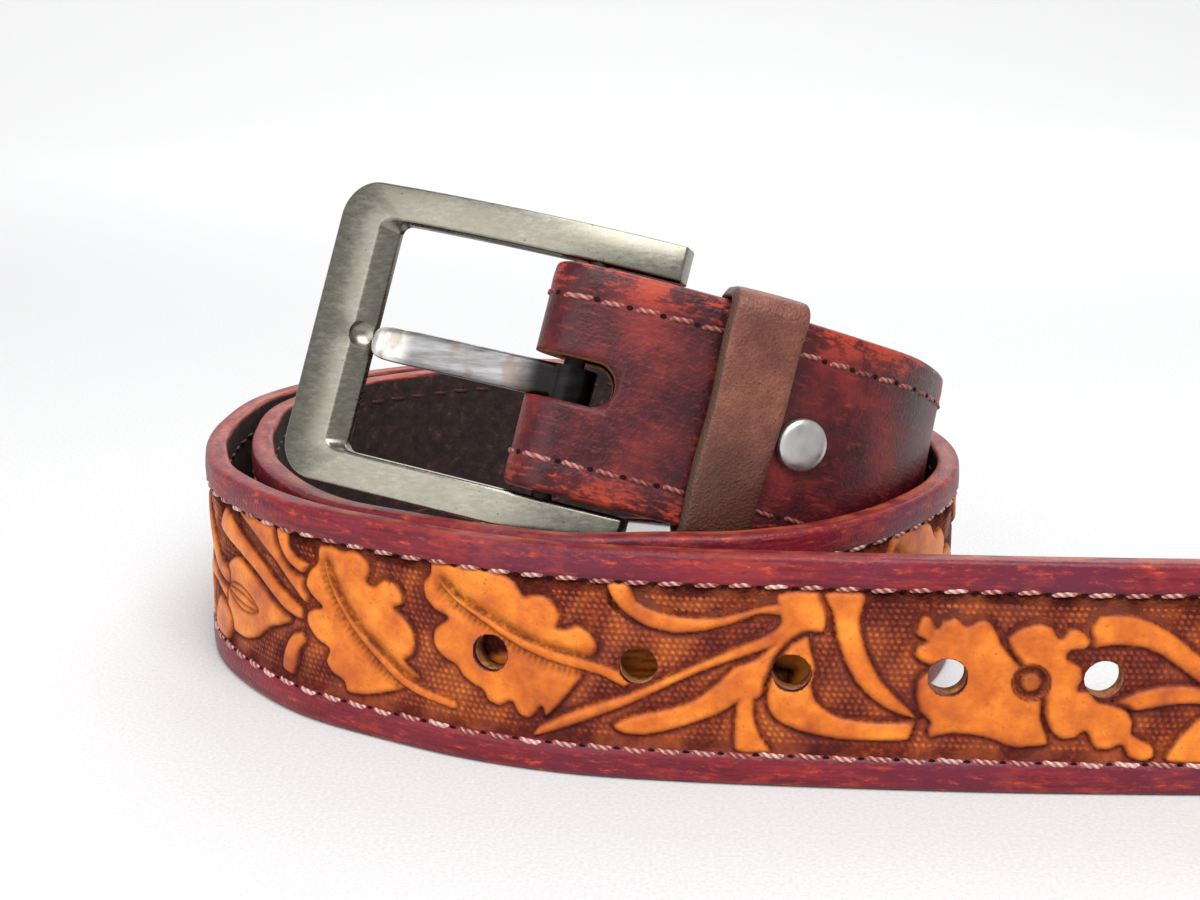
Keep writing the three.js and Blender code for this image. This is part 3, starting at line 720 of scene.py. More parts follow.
fan_leaf = (
    (231.8, 13.6), (229, 13.9), (226.6, 13.4), (224, 14), (221.8, 13), (220.4, 11.2), (221.2, 8.6),
    (219.6, 8.2), (217.6, 9.6), (215.2, 9.4), (213.6, 7.6), (213.6, 5.8), (215.2, 4.8), (213.4, 3.8),
    (211.6, 2), (210.7, -0.6), (211.4, -3.2), (213, -4.6), (210, -7), (213.5, -9.8), (217, -11.2),
    (220, -12.2), (223.2, -12.9), (225.8, -12.8), (226.6, -11), (229.2, -10), (230.7, -8), (230, -5.6),
    (233, -4.4), (235.2, -2), (235.2, 0.2), (233.6, 1.3), (231.6, 2), (234, 3.5), (235.6, 5.4),
    (234.8, 8), (232.8, 10), (232.6, 12),
)
fan_rib = (
    (230.4, 10.5), (229.2, 7.2), (227.2, 4), (224.5, 0.6), (221, -2.5), (217, -5.5), (213, -8),
    (208.8, -9.4), (203, -10.4),
)
broad_leaf = (
    (207.4, 14.6), (202, 15), (198, 14.8), (194.4, 14.4), (191.8, 13), (190.2, 10.8), (189, 11.2),
    (186.8, 11.3), (184.8, 9.8), (183.8, 7.6), (184.4, 5.8), (182.8, 5.8), (181, 6.6), (178.8, 5.4),
    (177.4, 3.2), (178.2, 1.2), (179.6, -0.5), (180.2, -2.8), (182, -5.3), (184, -8), (186.2, -10.2),
    (187, -8.6), (188.8, -10.8), (191, -10.4), (192.3, -8.4), (194.4, -9.3), (196.6, -8.8), (197.6, -7),
    (199.6, -6.2), (201.4, -5), (202.6, -3.4), (205, -2.4), (207, -0.5), (207.2, 2), (206, 3.6),
    (204.4, 5), (207, 6), (209, 8), (209.3, 10.6), (208, 12.4),
)
broad_rib = (
    (205.3, 11), (202.5, 8.7), (199, 6.8), (196, 5.3), (193, 3.7), (189, 2), (185, 0.8), (181, 0),
    (176.5, -1), (173, -2.6),
)
oak_left = (
    (124.6, 10.2), (123, 10.2), (122, 8.4), (121, 9.6), (119, 10.3), (117.2, 8.9), (115.6, 9.8),
    (113.8, 9.8), (112.3, 8), (111.4, 6), (109.8, 3.8), (108.2, 2), (105, -1), (104.5, -4), (104.3, -7),
    (103, -11.2), (105.5, -11.9), (109, -12), (111.8, -10.9), (114.6, -10.2), (118.6, -9.9),
    (122.2, -10.6), (122.9, -9.2), (122.5, -8), (124.2, -6), (125, -3.5), (124.8, -0.8), (123.4, 0.8),
    (121.2, 1.6), (123.4, 2), (125.3, 3.2), (125.2, 5.2), (123.7, 6), (125.4, 7.2),
)
oak_right = (
    (110.6, 7), (108, 8.9), (105.4, 9.6), (103.4, 8.8), (102, 7), (100.6, 8.7), (98.4, 8.3), (97.2, 6.6),
    (97.8, 5.2), (100.2, 4.8), (100.6, 3.4), (98.4, 2.2), (98, 0), (98.6, -1.8), (96.6, -2), (95.4, -3.6),
    (93, -4.2), (90.6, -5.2), (89.4, -7.2), (89.4, -9.2), (87.6, -10.3), (85.8, -11.5), (85.6, -13.4),
    (87.4, -14.2), (89.8, -13.4), (91, -11.4), (93.2, -12.2), (95.4, -11.8), (97.1, -9.2), (98.8, -10.3),
    (101, -10.4), (102.8, -9), (104, -6.4), (104.5, -4), (108.2, 2), (109.8, 4.4),
)
scroll_up = (
    (97.4, 5.4), (93.5, 5.8), (89, 5.6), (85.2, 4), (82.2, 1.8), (78, -1), (72, -2), (71, 1), (76.5, 2.6),
    (80, 5), (84, 8.2), (88, 10.4), (92, 11.3), (96, 11), (97.4, 8.4),
)
scroll_low = (
    (92.8, -4.2), (89.5, -2), (84.5, -0.7), (79, -0.8), (73, -2.4), (73, -5.4), (78, -4.2), (82.5, -4.2),
    (86.5, -4.9), (89.5, -5.4),
)
corner_leaf = (
    (77.5, -5.8), (80.6, -8.2), (82.6, -11), (83.4, -14.2), (74, -14.2), (70, -10), (72, -7),
)
# Each group is cut over the ones before it
leaf_work = (
    (trunk, upper_blade, stem_up, stem_low, foot_stem), (lower_blade,), (right_blade,), (bud,), (blade_long,),
    (blade_middle,), (blade_curl,), (leaflet,), (fan_leaf,), (broad_leaf,), (scroll_low,), (corner_leaf,),
    (scroll_up,), (oak_right,), (oak_left,),
)
# The rib of a leaf, and the rib's widest half width in metres
leaf_ribs = {fan_leaf: (fan_rib, 0.00092), broad_leaf: (broad_rib, 0.001035)}
rib_end = 0.00034
hatch_pitch = 0.0010
flower_middle = (106.4, -0.6)
pod_middle, pod_half = (256.8, -2.7), (7.2, 2.3)
repeat_start = 72
repeat_length = 192.0
ground_level = -0.00082
leaf_level = -0.00016
ground_slope = 0.0016
leaf_slope = 0.0014
knife_half = 0.00034
seed_wide, seed_high, seed_rise = 0.00112, 0.00105, 0.00019


def smooth_line(points, closed, steps=5):
    """A rounded line through the given points, in metres."""
    p = np.array(points, float) / 1000
    if closed:
        p = np.concatenate((p[-1:], p, p[:2]))
    else:
        p = np.concatenate((2 * p[:1] - p[1:2], p, 2 * p[-1:] - p[-2:-1]))
    t = (np.arange(steps) / steps)[:, None]
    line = []
    for a, b, c, d in zip(p, p[1:], p[2:], p[3:]):
        m1, m2 = (c - a) * 0.42, (d - b) * 0.42
        line.append(curve_between(b, c, m1, m2, t))
    line = np.concatenate(line)
    return line if closed else np.concatenate((line, p[-2:-1]))


def nearest(x, y, line, closed):
    """Distance to a line, how far along it that is, and the side: for a closed line, whether inside."""
    a = line if closed else line[:-1]
    b = np.roll(line, -1, axis=0) if closed else line[1:]
    dx, dy = x[:, None] - a[:, 0], y[:, None] - a[:, 1]
    ex, ey = b[:, 0] - a[:, 0], b[:, 1] - a[:, 1]
    size = ex * ex + ey * ey
    t = np.clip((dx * ex + dy * ey) / size, 0, 1)
    gap = np.hypot(dx - t * ex, dy - t * ey)
    best = gap.argmin(axis=1)
    pick = np.arange(len(x)), best
    if closed:
        above_a, above_b = a[:, 1] > y[:, None], b[:, 1] > y[:, None]
        with np.errstate(divide="ignore", invalid="ignore"):
            cross_x = ex * (y[:, None] - a[:, 1]) / ey + a[:, 0]
        crossed = (above_a != above_b) & (x[:, None] < cross_x)
        side = np.where(crossed.sum(axis=1) % 2 == 1, 1.0, -1.0)
    else:
        side = np.sign((ex * dy - ey * dx)[pick])
    run = np.concatenate(([0], np.cumsum(np.sqrt(size))))
    return gap[pick], run[best] + t[pick] * np.sqrt(size)[best], side


def near_line(tile, y, line, margin):
    """In each repeat of the pattern, which points are near a line, and how far along the pattern they are."""
    low, high = line.min(axis=0) - margin, line.max(axis=0) + margin
    for wrap in (0, repeat_length / 1000, -repeat_length / 1000):
        at = tile + wrap
        close = np.nonzero((at > low[0]) & (at < high[0]) & (y > low[1]) & (y < high[1]))[0]
        if len(close):
            yield close, at[close]


def seeded_ground(x, y):
    """Height, tan share and dark share of the ground, struck with a seed tool in staggered rows."""
    row = np.floor(y / seed_high)
    seed_x = (x + 0.00035 * np.sin(y * 900) + seed_high / 2 * (row % 2)) / seed_wide
    seed_y = y / seed_high
    gap = np.hypot(seed_x - np.floor(seed_x) - 0.5, seed_y - np.floor(seed_y) - 0.5)
    cell = np.sin(row * 12.9898 + np.floor(seed_x) * 78.233) * 437.585
    struck = cell - np.floor(cell)
    seed = (1 - smooth(gap, 0.12, 0.46)) * (0.5 + 0.5 * struck) * (1 - smooth(np.abs(y), 0.0118, 0.0132))
    uneven = np.sin(x * 210 + 3) * np.sin(y * 330 + x * 90)
    patch = 0.5 + 0.5 * np.sin(x * 170 + 1.3) * np.sin(y * 240 - x * 60) + 0.3 * np.sin(x * 610 + y * 400)
    patch = smooth(patch, 0.25, 0.85)
    height = ground_level + seed_rise * seed + 0.00005 * uneven
    return height, (0.22 + 0.78 * patch) * (0.18 + 0.82 * seed), 0.92 * (1 - seed) * (0.95 - 0.45 * patch)


def carve_rib(tile, y, rib, widest, inside, height, tan, dark):
    """Carves a rounded rib and the hollows beside it into a leaf, in the three arrays given."""
    line = smooth_line(rib, False)
    whole = np.linalg.norm(np.diff(line, axis=0), axis=1).sum()
    for close, at in near_line(tile, y, line, 0.0045):
        gap, run, side = nearest(at, y[close], line, False)
        half = rib_end + (widest - rib_end) * np.minimum(1, run / whole * 1.6)
        off = gap - half
        on_leaf = inside[close]
        dip = np.where(side < 0, 0.00056, 0.00042) * (1 - smooth(off, 0, 0.0030)) * on_leaf
        hatch = 0.5 + 0.5 * np.sin(run * 2 * math.pi / hatch_pitch)
        smooth_shade = 0.85 * (1 - smooth(off, 0, 0.0022))
        hatched_shade = (0.35 + 0.5 * hatch) * (1 - smooth(off, 0.0003, 0.0024))
        shade = np.where(side < 0, smooth_shade, hatched_shade)
        ridge = off < 0
        bulge = leaf_level + 0.00008 - 0.00030 * (gap / half) ** 2
        height[close] = np.where(ridge, bulge, height[close] - dip)
        tan[close] = np.where(ridge, 1.0, tan[close])
        dark[close] = np.where(ridge, 0, np.maximum(dark[close], shade * on_leaf))
        dark[close] = np.maximum(dark[close], 0.9 * np.exp(-(off / 0.00030) ** 2))


def carve(x, y):
    """Height, tan share and dark share of the tooled panel at points in metres back from the tip and up."""
    height, tan, dark = seeded_ground(x, y)
    tile = x - np.floor((x * 1000 - repeat_start) / repeat_length) * repeat_length / 1000
    for outlines in leaf_work:
        reach = np.full(len(x), -1.0)
        for outline in outlines:
            line = smooth_line(outline, True)
            for close, at in near_line(tile, y, line, 0.0022):
                gap, _, side = nearest(at, y[close], line, True)
                reach[close] = np.maximum(reach[close], gap * side)
        inside = reach > 0
        away = smooth(-reach, 0, ground_slope)
        edge = smooth(reach, 0, leaf_slope)
        height = np.where(inside, leaf_level - 0.0005 * (1 - edge) ** 2, height - 0.0003 * (1 - away))
        tan = np.where(inside, 1 - 0.42 * (1 - edge) ** 2, tan * away)
        dark = np.where(inside, 0.0, np.maximum(dark, 0.85 * (1 - away)))
        dark = np.maximum(dark, np.exp(-(reach / knife_half) ** 2))
        if outlines[0] in leaf_ribs:
            rib, widest = leaf_ribs[outlines[0]]
            carve_rib(tile, y, rib, widest, inside, height, tan, dark)
    # A pod is cut into the bud: a lens with a smaller lens inside it, both leaning with the bud
    pod_x = (tile * 1000 - pod_middle[0]) / pod_half[0]
    pod_y = (y * 1000 - pod_middle[1] - 0.1 * (tile * 1000 - pod_middle[0])) / pod_half[1]
    for share in (1.0, 0.42):
        lens = np.abs(pod_y) - share * (1 - pod_x ** 2)
        knife = np.exp(-(lens / 0.13) ** 2) * (np.abs(pod_x) < 0.96)
        height = height - 0.00022 * knife
        dark = np.maximum(dark, 0.85 * knife)
    # The middle of the flower is a struck ring round a small button
    gap = np.hypot(tile - flower_middle[0] / 1000, y - flower_middle[1] / 1000) * 1000
    ring = gap < 3.2
    dimple = 1 - smooth(np.abs(gap - 2.15), 0.35, 0.95)
    height = np.where(ring, leaf_level - 0.0006 * dimple - 0.0001, height)
    dark = np.where(ring, np.maximum(0.35, dimple), dark)
    tan = np.where(ring, np.where(gap < 1.25, 0.55, 0.2), tan)
    rim = np.exp(-((gap - 3.15) / 0.22) ** 2)
    return height, tan, np.maximum(dark, rim * 0.9)


plate_half = 0.01452
plate_floor = -0.00125


def tooled_plate(name, start, end, pitch):
    """A length of the carved panel, as a thin closed plate that lies in the strap between its borders."""
    runs = np.linspace(start, end, int((end - start) / pitch))
    columns = int(2 * plate_half / pitch)

    def plate(run, step):
        across = plate_half * (1 - 2 * np.clip((step - 1) / columns, 0, 1))
        height, tan, dark = carve(strap_length - run, across)
        fade = panel_share(run)
        near_rim = smooth(plate_half - np.abs(across), 0, 0.0007)
        height = (height * near_rim - 0.0007 * (1 - near_rim)) * fade - 0.0001 * (1 - fade)
        top = (step >= 1) & (step <= columns + 1)
        out = strap_thickness / 2 + np.where(top, height, plate_floor)
        across = np.where((step == 0) | (step == columns + 3), 0, across)
        looks = {"tan": tan * fade, "dark": np.where(top, dark, 1.0) * fade, "carved": fade}
        return across, out, across, looks

    return swept_grid(name, runs, columns + 3, plate)


tooled = Finish("tooled_tan", roughness=0.4, specular=0.32, coat=0.04, coat_roughness=0.3)
at = tooled.place()
tan_share, dark_share = tooled.stored("tan"), tooled.stored("dark")
blotch = tooled.noise(at, 130, detail=5, roughness=0.6)
fine = tooled.noise(at, 900, detail=4, roughness=0.7)
tan_colour = tooled.ramp(
    blotch, (0.3, (0.36, 0.060, 0.004)), (0.5, (0.60, 0.140, 0.008)), (0.7, (0.82, 0.25, 0.020)),
)
tan_colour = tooled.mix(tooled.band(fine, 0.56, 0.74), tan_colour, (0.40, 0.085, 0.012))
ground_colour = tooled.ramp(blotch, (0.35, (0.12, 0.014, 0.010)), (0.65, (0.34, 0.052, 0.012)))
tooled_colour = tooled.mix(tan_share, ground_colour, tan_colour)
antiqued = tooled.times(tooled.times(dark_share, tooled.band(fine, 0.15, 0.60)), 0.92)
tooled_colour = tooled.mix(antiqued, tooled_colour, (0.036, 0.008, 0.010))
tooled_colour = tooled.mix(tooled.stored("carved"), (0.06, 0.010, 0.012), tooled_colour)
# The antique in the cuts is dull, and only the raised work shines
shine = tooled.times(tooled.rest(dark_share), 0.34)
tooled.links.new(shine, tooled.shader.inputs["Specular IOR Level"])
tooled.finish(
    colour=tooled_colour,
    roughness=tooled.mix(dark_share, tooled.ramp(fine, (0.3, 0.32), (0.7, 0.5)), (0.85, 0.85, 0.85)),
    normal=tooled.bump(tooled.math("ADD", fine, tooled.cells(at, 1600)), 0.00012, 0.4),
)
front_start = strap_length - 0.262
plate_overlap = 0.0003
hole_ease = 0.00002
for plate_name, start, end, pitch in (
    ("tooling_front", front_start, strap_length - tip_length, 0.00031),
    ("tooling_coil", plain_end, front_start + plate_overlap, 0.00056),
):
    plate = tooled_plate(plate_name, start, end, pitch)
    if plate_name == "tooling_front":
        combine(plate, hole_punch(hole_radius + hole_ease))
    coat(plate, tooled)
    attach(plate, "strap_body")

# Stitches. Waxed two-ply thread runs down both borders, on the grain side and on the flesh side. Each stitch
# dives into an awl hole at both ends. It is pale where the border is bright, and dyed dark near the buckle.
stitch_pitch = 0.0058
stitch_length = 0.0047
stitch_line = 0.0147
thread_radius = 0.00040
ply_turns = 5.2
first_stitch = -0.0076
last_stitch = strap_length - 0.031
line_start = 0.02
line_drift = 0.0005
draw = np.random.default_rng(11)


def stitch_across(run):
    """How far off the middle of the strap the stitches are: a little less near the buckle."""
    return stitch_line - line_drift * (1 - smooth(run, line_start, plain_end))


def stitch_row(name, front, rings, sides):
    """All the stitches of one side of the strap, as one mesh of twisted strands."""
    strand = bmesh.new()
    bmesh.ops.create_grid(strand, x_segments=rings, y_segments=sides, size=0.5)
    pattern = bpy.data.meshes.new("strand")
    strand.to_mesh(pattern)
    strand.free()
    spots = [(run, side) for side in (-1, 1) for run in np.arange(first_stitch, last_stitch, stitch_pitch)]
    rows = bmesh.new()
    for _ in spots:
        rows.from_mesh(pattern)
    thing = add_object(name, rows)
    local = np.zeros(len(pattern.vertices) * 3)
    pattern.vertices.foreach_get("co", local)
    local = local.reshape(-1, 3)
    count = len(spots)
    along = np.tile(local[:, 0] * 2, count)
    angle = np.tile((local[:, 1] + 0.5) * 2 * math.pi, count)
    run = np.repeat([s[0] for s in spots], len(local))
    side = np.repeat([s[1] for s in spots], len(local))
    slack = np.repeat(draw.uniform(-1, 1, (count, 3)), len(local), axis=0)
    taper = np.sqrt(np.maximum(1 - np.abs(along) ** 5, 0.02))
    twist = np.cos(2 * (angle - along * ply_turns))
    radius = thread_radius * taper * (1 + 0.16 * twist)
    sunk = 0.00034 * smooth(run, plain_end, plain_end + panel_fade) if front else 0 * run
    arch = 0.00062 * (1 - np.abs(along) ** 3) - 0.00052
    lift = strap_thickness / 2 - sunk + arch + radius * np.sin(angle) * 0.9
    over = side * stitch_across(run) + radius * np.cos(angle) * 1.1
    over = over + 0.00016 * slack[:, 1] + 0.00018 * along * side
    spot, _, across, out = strip_place(run + along * stitch_length / 2 + 0.0002 * slack[:, 0])
    if not front:
        lift = -lift
    placed = spot + across * over[:, None] + out * lift[:, None]
    thing.data.vertices.foreach_set("co", placed.ravel())
    pale = thing.data.attributes.new("pale", "FLOAT", "POINT")
    bright = 0.60 + 0.26 * slack[:, 2] + 0.36 * twist
    bright = bright * (0.58 + 0.42 * smooth(run, plain_end - 0.02, plain_end + 0.04))
    pale.data.foreach_set("value", bright if front else bright * 0.1)
    close_piece(thing)
    return thing


thread = Finish("waxed_thread", roughness=0.55, specular=0.4)
ply = thread.noise(thread.place(), 2600, detail=3)
thread_colour = thread.ramp(
    thread.stored("pale"), (0.05, (0.035, 0.006, 0.008)), (0.35, (0.26, 0.055, 0.045)),
    (0.62, (0.50, 0.24, 0.20)), (0.95, (0.68, 0.50, 0.44)),
)
soiled_thread = thread.times(thread.band(ply, 0.35, 0.75), 0.45)
thread.finish(
    colour=thread.mix(soiled_thread, thread_colour, (0.12, 0.03, 0.03)), normal=thread.bump(ply, 0.0001, 0.6),
)
for row_name, front, rings, sides in (("stitches_front", True, 9, 8), ("stitches_back", False, 6, 6)):
    stitches = stitch_row(row_name, front, rings, sides)
    coat(stitches, thread)
    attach(stitches, "strap_body")

# Awl holes. Between one stitch and the next the thread goes down through a slit hole, dark inside.
awl_radius = 0.00062
awl_sink = 0.00036
awl_holes = bmesh.new()
for side in (-1, 1):
    for run in np.arange(first_stitch - stitch_pitch / 2, last_stitch, stitch_pitch):
        point, along, across, out = (v[0] for v in strip_place(run))
        sunk = awl_sink * smooth(run, plain_end, plain_end + panel_fade)
        middle = point + across * side * stitch_across(run) + out * (strap_thickness / 2 - sunk)
        shape = place_matrix(middle, along * 1.15, across * 0.85, out * 0.22)
        bmesh.ops.create_icosphere(awl_holes, subdivisions=1, radius=awl_radius, matrix=shape)
pit = Finish("awl_hole_shadow", roughness=0.9, specular=0.1)
pit_noise = pit.noise(pit.place(), 1500)
pit.finish(colour=pit.ramp(pit_noise, (0.4, (0.006, 0.003, 0.003)), (0.7, (0.03, 0.008, 0.008))))
awl_pits = add_object("awl_holes", awl_holes)
coat(awl_pits, pit)
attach(awl_pits, "strap_body")

# Keeper. A narrow loop of smooth brown leather goes round the strap, with its ends caught between the two
# layers. Its cut edges are raw and dark, and it stands off the strap most at the top.
keeper_tilt = 2
keeper_flare = 0.009
inside_top = strap_width / 2 + 0.0007
inside_upper = strap_thickness / 2 + 0.0032
inside_lower = strap_thickness / 2 + 0.0003
inside_back = strap_thickness / 2 + 0.0004


def arc(middle, radius, start, end, steps=8):
    angles = np.linspace(start, end, steps) * math.pi / 2
    return [(middle[0] + radius * math.cos(a), middle[1] + radius * math.sin(a)) for a in angles]


def keeper_outline(grow):
    """The loop's outline, out and across, a given thickness off its inside."""
    corner, small = 0.002 + grow, 0.0012 + grow
    top, upper, lower, back = (side + grow for side in (inside_top, inside_upper, inside_lower, inside_back))
    line = arc((lower - corner, corner - top), corner, -1, 0)
    line += [(lower + (upper - lower) * t, (corner - top) * (1 - 2 * t)) for t in np.linspace(0, 1, 22)[1:-1]]
    line += arc((upper - corner, top - corner), corner, 0, 1) + arc((small - back, top - small), small, 1, 2)
    line += [(-back, (top - small) * (1 - 2 * t)) for t in np.linspace(0, 1, 16)[1:-1]]
    line += arc((small - back, small - top), small, 2, 3)
    return np.array(line + line[:1])


inner, outer = keeper_outline(0.0), keeper_outline(keeper_thickness)
ring = np.array([
    (-1, 0.28), (-0.985, 0.1), (-0.93, 0), (-0.5, 0), (0, 0), (0.5, 0), (0.93, 0), (0.985, 0.1), (1, 0.28),
    (1, 0.6), (0.985, 0.85), (0.94, 0.98), (0.8, 1.03), (0.4, 1.06), (0, 1.07), (-0.4, 1.06), (-0.8, 1.03),
    (-0.94, 0.98), (-0.985, 0.85), (-1, 0.6), (-1, 0.28),
])
loop_mesh = bmesh.new()
bmesh.ops.create_grid(loop_mesh, x_segments=len(inner) - 1, y_segments=len(ring) - 1, size=0.5)
wide_side = loop_mesh.verts.layers.float.new("cut_edge")
# How far up the loop each point lies, 0 at the bottom and 1 at the top, for the keeper's painted shade.
keeper_rise = loop_mesh.verts.layers.float.new("keeper_rise")
for v in loop_mesh.verts:
    i = round((v.co.x + 0.5) * (len(inner) - 1))
    j = round((v.co.y + 0.5) * (len(ring) - 1))
    width, share = ring[j]
    out_off, over = inner[i] + (outer[i] - inner[i]) * share
    flare = keeper_flare * max(0.0, -width - 0.9) * (0.5 - share)
    along_off = width * keeper_width / 2 - flare + 0.00018 * math.sin(over * 260 + 1)
    tilt = math.radians(keeper_tilt)
    shift = along_off * math.cos(tilt) - over * math.sin(tilt)
    over = along_off * math.sin(tilt) + over * math.cos(tilt)
    spot, _, across, out = (w[0] for w in strap_place(keeper_at + shift))
    v.co = spot + across * over + out * out_off
    v[wide_side] = max(0.0, (abs(width) - 0.9) * 10)
    v[keeper_rise] = 0.5 + over / (2 * inside_top)
close_up(loop_mesh)
shade_smooth(loop_mesh)
keeper = add_object("keeper", loop_mesh)
brown = Finish("brown_keeper_hide", roughness=0.5, specular=0.4, coat=0.1)
brown_at = brown.place()
brown_grain = brown.math("ADD", brown.cells(brown_at, 1900), brown.noise(brown_at, 700, detail=4))
brown_mottle = brown.noise(brown_at, 110, detail=6, roughness=0.65)
brown_colour = brown.ramp(
    brown_mottle, (0.3, (0.080, 0.018, 0.011)), (0.5, (0.150, 0.042, 0.024)), (0.7, (0.25, 0.085, 0.050)),
)
brown_colour = brown.mix(
    brown.band(brown.noise(brown_at, 2600, detail=4), 0.52, 0.72), brown_colour, (0.055, 0.018, 0.012),
)
# Painted shade: the keeper is darkened towards its bottom and left lightest at its top.
keeper_low_shade = brown.math("SUBTRACT", 0.88, brown.band(brown.stored("keeper_rise"), 0.0, 0.85))
brown_colour = brown.mix(brown.math("MAXIMUM", keeper_low_shade, 0.0), brown_colour, (0.050, 0.014, 0.009))
brown_colour = brown.mix(brown.band(brown.stored("cut_edge"), 0.3, 0.95), brown_colour, (0.075, 0.036, 0.022))
brown.finish(
    colour=brown_colour,
    roughness=brown.ramp(brown_mottle, (0.3, 0.38), (0.7, 0.58)),
    normal=brown.bump(brown_grain, 0.00022, 0.6),
)
coat(keeper, brown)
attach(keeper, "strap_body")
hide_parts("keeper_loop")

# Post screw. A turned steel cap with a low dome is screwed through both layers into a slotted back.
screw_drop = 0.0008
screw_point, screw_along, screw_across, screw_out = (v[0] for v in strap_place(screw_at))
screw_point = screw_point - screw_across * screw_drop
cap_floor = strap_thickness / 2 + 0.0003
cap_height = 0.0019
cap_profile = (
    (0, 0), (0.00440, 0), (0.00466, 0.00012), (screw_radius, 0.0004), (screw_radius, 0.0009),
    (0.00462, 0.00122), (0.0044, 0.00146), (0.0036, 0.00172), (0.0024, 0.00186), (0.0012, cap_height),
    (0, cap_height),
)
cap_mesh = bmesh.new()
line = [cap_mesh.verts.new((radius, 0, cap_floor + rise)) for radius, rise in cap_profile]
edges = [cap_mesh.edges.new(pair) for pair in zip(line, line[1:])]
bmesh.ops.spin(
    cap_mesh, geom=line + edges, cent=(0, 0, 0), axis=(0, 0, 1), angle=2 * math.pi, steps=40, use_merge=True,
)
bmesh.ops.remove_doubles(cap_mesh, verts=cap_mesh.verts, dist=1e-6)
bmesh.ops.recalc_face_normals(cap_mesh, faces=cap_mesh.faces)
screw_turn = place_matrix(screw_point, screw_along, screw_across, screw_out)
bmesh.ops.transform(cap_mesh, matrix=screw_turn, verts=cap_mesh.verts)
shade_smooth(cap_mesh)
screw_cap = add_object("screw_head", cap_mesh)
steel = Finish("satin_steel", roughness=0.38, specular=0.5, metallic=1.0)
steel_at = steel.place()
steel_wear = steel.noise(steel_at, 500, detail=5)
steel_cloud = steel.noise(steel_at, 160, detail=4)
steel.finish(
    colour=steel.ramp(steel_cloud, (0.3, (0.42, 0.40, 0.385)), (0.7, (0.68, 0.665, 0.65))),
    roughness=steel.ramp(steel_wear, (0.3, 0.30), (0.7, 0.50)),
    normal=steel.bump(steel_wear, 0.00006, 0.5),
)
coat(screw_cap, steel)
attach(screw_cap, "strap_body")
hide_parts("screw_cap")
coat(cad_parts["screw_back"], steel)

# Buckle frame. One nickel casting: two arms and a wide crossbar, arched to the waist, with a bevel on the
# inside of the crossbar and a notch for the prong. It is brushed, antiqued and worn bright on its edges.
frame_reach = 0.0494
frame_tail = 0.0145
metal = 0.0044
arm_width = 0.0066
crossbar_width = 0.0118
strap_clearance = 0.001
outer_corner = 0.007
inner_corner = 0.0018
arm_bevel = 0.0005
bar_bevel = 0.0032
bar_drop = 0.0030
frame_lean = 22
frame_half = strap_width / 2 + strap_clearance + arm_width
frame_crown = 0.032
frame_arch = 0.125
buckle_place = place_matrix(heel_bar, -heel_along, -heel_across, heel_out)
buckle_place = buckle_place @ Matrix.Rotation(math.radians(frame_lean), 4, "Y")


def arch_height(x):
    return (frame_crown ** 2 - (x - frame_crown) ** 2) / (2 * frame_arch)


window_half = frame_half - arm_width
window_end = frame_reach - crossbar_width
half_path = []
for x in np.linspace(-frame_tail, window_end - inner_corner, 26)[:-1]:
    half_path.append(((x, frame_half), (x, window_half), 0.0))
for angle in np.linspace(math.pi / 2, 0, 15):
    turn_x, turn_y = math.cos(angle), math.sin(angle)
    outer_spot = (frame_reach - (1 - turn_x) * outer_corner, frame_half - (1 - turn_y) * outer_corner)
    inner_spot = (window_end - (1 - turn_x) * inner_corner, window_half - (1 - turn_y) * inner_corner)
    half_path.append((outer_spot, inner_spot, float(smooth(math.pi / 2 - angle, 0, math.pi / 2))))
last_outer, last_inner, _ = half_path[-1]
path = list(half_path)
for side in 1 - 2 * np.linspace(0, 1, 20)[1:-1]:
    path.append(((last_outer[0], last_outer[1] * side), (last_inner[0], last_inner[1] * side), 1.0))
path += [((a[0], -a[1]), (b[0], -b[1]), growth) for a, b, growth in reversed(half_path)]
casting = bmesh.new()
bmesh.ops.create_grid(casting, x_segments=len(path) - 1, y_segments=6, size=0.5)
for v in casting.verts:
    (outer_x, outer_y), (inner_x, inner_y), growth = path[round((v.co.x + 0.5) * (len(path) - 1))]
    span = math.hypot(inner_x - outer_x, inner_y - outer_y)
    bevel = arm_bevel + (bar_bevel - arm_bevel) * growth
    drop = arm_bevel + (bar_drop - arm_bevel) * growth
    corners = ((0, metal / 2), (span - bevel, metal / 2), (span, metal / 2 - drop), (span, -metal / 2),
               (span / 2, -metal / 2), (0, -metal / 2), (0, metal / 2))
    off, height = corners[round((v.co.y + 0.5) * 6)]
    x = outer_x + (inner_x - outer_x) * off / span
    y = outer_y + (inner_y - outer_y) * off / span
    v.co = (x, y, height + arch_height(x))
close_up(casting)
sharp = [e for e in casting.edges if len(e.link_faces) == 2 and e.calc_face_angle() > math.radians(24)]
edge_bevel = 0.00042
bmesh.ops.bevel(
    casting, geom=sharp, offset=edge_bevel, offset_type="OFFSET", segments=3, profile=0.5, affect="EDGES",
    material=-1,
)
buckle = add_object("buckle_casting", casting)
notch_shape = (0.0043, 0.0033, 0.003, 1)
notch_middle = (window_end - 0.0004, 0, metal / 2 + arch_height(window_end) + 0.0002)
notch = bmesh.new()
bmesh.ops.create_uvsphere(
    notch, u_segments=48, v_segments=24, radius=1,
    matrix=Matrix.Translation(notch_middle) @ Matrix.Diagonal(notch_shape),
)
combine(buckle, add_object("notch_tool", notch))
buckle.data.transform(buckle_place)
buckle.data.shade_smooth()
buckle.data.set_sharp_from_angle(angle=math.radians(32))
nickel = Finish("antiqued_nickel", metallic=1.0)
nickel_at = nickel.place()
brushed_place = nickel.place(scale=(500, 500, 1500), turn=(0, math.radians(12), 0))
grain_fine = nickel.noise(brushed_place, 1, detail=5, roughness=0.7)
cloud = nickel.noise(nickel_at, 110, detail=4)
pits = nickel.band(nickel.noise(nickel_at, 1100, detail=2), 0.70, 0.76)
